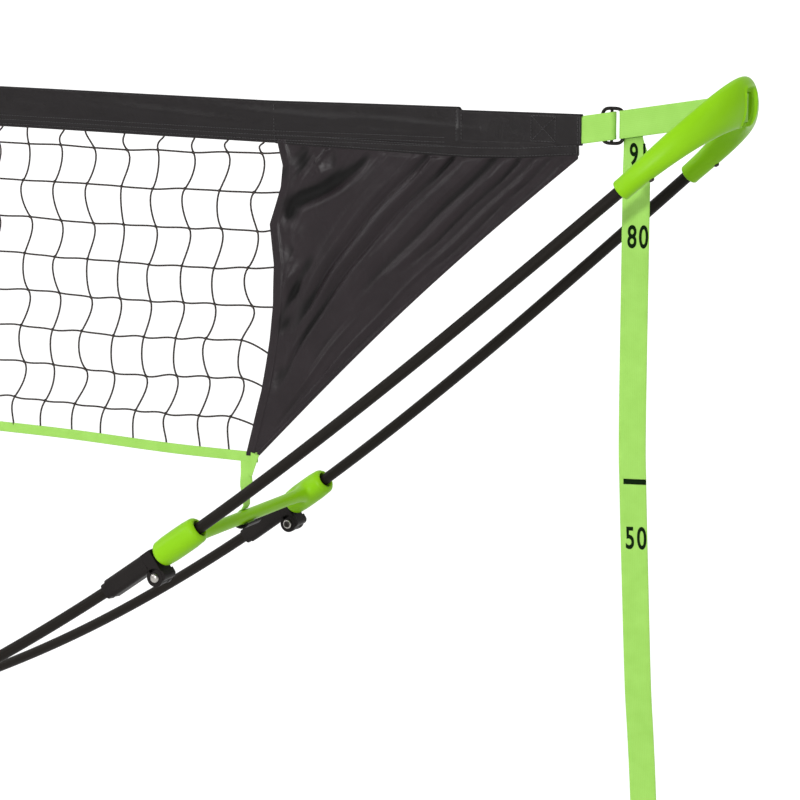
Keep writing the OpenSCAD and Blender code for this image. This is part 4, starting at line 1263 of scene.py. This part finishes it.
def height_marks():
    """Plain height numbers and a dash printed on the hanging strap's front, laid on its curve."""
    points, faces, start = [], [], 0
    for text, x, z, size in NUMBERS:
        curve = bpy.data.curves.new("mark", "FONT")
        curve.body, curve.size, curve.align_x, curve.align_y = text, size * DIGIT_SIZE, "CENTER", "CENTER"
        curve.offset, curve.space_character = 0.0006, 1.2
        holder = link("mark", curve)
        bpy.context.view_layer.update()
        mesh = bpy.data.meshes.new_from_object(holder.evaluated_get(bpy.context.evaluated_depsgraph_get()))
        bpy.data.objects.remove(holder)
        co = points_of(mesh)
        points.append(np.stack([x + DIGIT_WIDTH * co[:, 0], 0 * co[:, 0], z + co[:, 1]], -1))
        faces += [[start + i for i in p.vertices] for p in mesh.polygons]
        start += len(co)
    x, z, w, h = DASH
    points.append(np.array([[x - w / 2, 0, z - h / 2], [x + w / 2, 0, z - h / 2],
                            [x + w / 2, 0, z + h / 2], [x - w / 2, 0, z + h / 2]]))
    faces.append([start, start + 1, start + 2, start + 3])
    place = np.concatenate(points)
    p, z = place[:, 0] - TAIL_X, place[:, 2]
    middle = np.interp(-z, -tail_line[:, 2], tail_line[:, 1])
    turn = tail_turn(z)
    proud = STRAP_T / 2 + INK_PROUD
    marks = {}
    for end, sign in SIGN.items():
        mesh = bpy.data.meshes.new("height_marks_" + end)
        x = sign * TAIL_X + p * np.cos(turn) + sign * proud * np.sin(turn)
        y = middle + sign * p * np.sin(turn) - proud * np.cos(turn)
        mesh.from_pydata(np.stack([x, y, z], -1).tolist(), [], faces)
        mesh.materials.append(print_ink)
        marks[end] = link("height_marks_" + end, mesh)
    on_net(marks)
    return marks


marks = height_marks()


# Stage and light

PLAIN = 0.49        # strength of the world on the object
DIM = 0.06          # strength of the world in gloss, away from the background
FLOOR_HALF, FLOOR_Z = 40, -0.0005
FLOOR_SEEN = (0.84, 0.84, 0.84, 1)
GLOW = {1: 2.5, 2: 9.0, 3: 0.44, 4: 0.52}       # the seen floor's glow from near to far
# Name, place that the light comes from, spread in degrees and strength
LAMPS = (("key", (0.103, -0.982, 0.152), 4, 1.35), ("fill", (-0.35, -0.85, 0.40), 30, 0.65),
         ("left", (-0.84, -0.40, 0.36), 14, 0.35), ("top", (0.1, 0.3, 0.95), 40, 0.4),
         ("right", (0.86, -0.36, 0.30), 40, 0.25))


def studio():
    """A pale floor and a white world: both show white to the camera and in gloss, and the floor keeps the shadow."""
    floor = bpy.data.meshes.new("floor")
    corners = [(FLOOR_HALF * x, FLOOR_HALF * y, FLOOR_Z) for x, y in ((-1, -1), (1, -1), (1, 1), (-1, 1))]
    floor.from_pydata(corners, [], [(0, 1, 2, 3)])
    made = link("floor", floor)
    pale, tree, shader, coords, _ = new_finish("pale_floor")
    seen = shown(tree)
    soft = blended(tree, noise(tree, coords, 3.0), (0.66, 0.66, 0.66, 1), (0.70, 0.70, 0.70, 1))
    wire(tree, shader, blended(tree, seen, soft, FLOOR_SEEN))
    shader.inputs["Roughness"].default_value = 1.0
    shader.inputs["Specular IOR Level"].default_value = 0.0
    shader.inputs["Emission Color"].default_value = (1, 1, 1, 1)
    away = put(tree, "VectorMath", {0: coords}, operation="LENGTH").outputs["Value"]
    glow = put(tree, "MapRange", {"Value": away, **GLOW}).outputs[0]
    tree.links.new(calc(tree, "MULTIPLY", seen, glow), shader.inputs["Emission Strength"])
    floor.materials.append(pale)
    world = bpy.data.worlds.new("studio")
    bpy.context.scene.world = world
    world.use_nodes = True
    tree = world.node_tree
    back = tree.nodes["Background"]
    way = put(tree, "SeparateXYZ", {0: put(tree, "TexCoord").outputs["Generated"]})
    aside = calc(tree, "SUBTRACT", way.outputs[1], way.outputs[0])
    behind = put(tree, "MapRange", {"Value": aside, 1: -0.2, 2: 0.9, 3: DIM - PLAIN, 4: 1.0 - PLAIN}).outputs[0]
    path = put(tree, "LightPath")
    mirrored_in = calc(tree, "MAXIMUM", path.outputs["Is Glossy Ray"], path.outputs["Is Transmission Ray"])
    direct = calc(tree, "MULTIPLY", path.outputs["Is Camera Ray"], 1.0 - PLAIN)
    extra = calc(tree, "MULTIPLY_ADD", mirrored_in, behind, direct)
    tree.links.new(calc(tree, "ADD", extra, PLAIN), back.inputs["Strength"])
    back.inputs["Color"].default_value = (1, 1, 1, 1)
    for name, source, spread, power in LAMPS:
        lamp = bpy.data.lights.new(name, "SUN")
        lamp.energy, lamp.angle = power, math.radians(spread)
        lit = link(name, lamp)
        lit.location = 3 * Vector(source)
        lit.rotation_mode = "QUATERNION"
        lit.rotation_quaternion = (-Vector(source)).to_track_quat("-Z", "Y")
    bpy.context.scene.view_settings.view_transform = "Standard"


def shown(tree):
    """1 for rays that show a surface: from the camera, in gloss and through glass."""
    path = put(tree, "LightPath")
    seen = calc(tree, "MAXIMUM", path.outputs["Is Camera Ray"], path.outputs["Is Glossy Ray"])
    return calc(tree, "MAXIMUM", seen, path.outputs["Is Transmission Ray"])


studio()
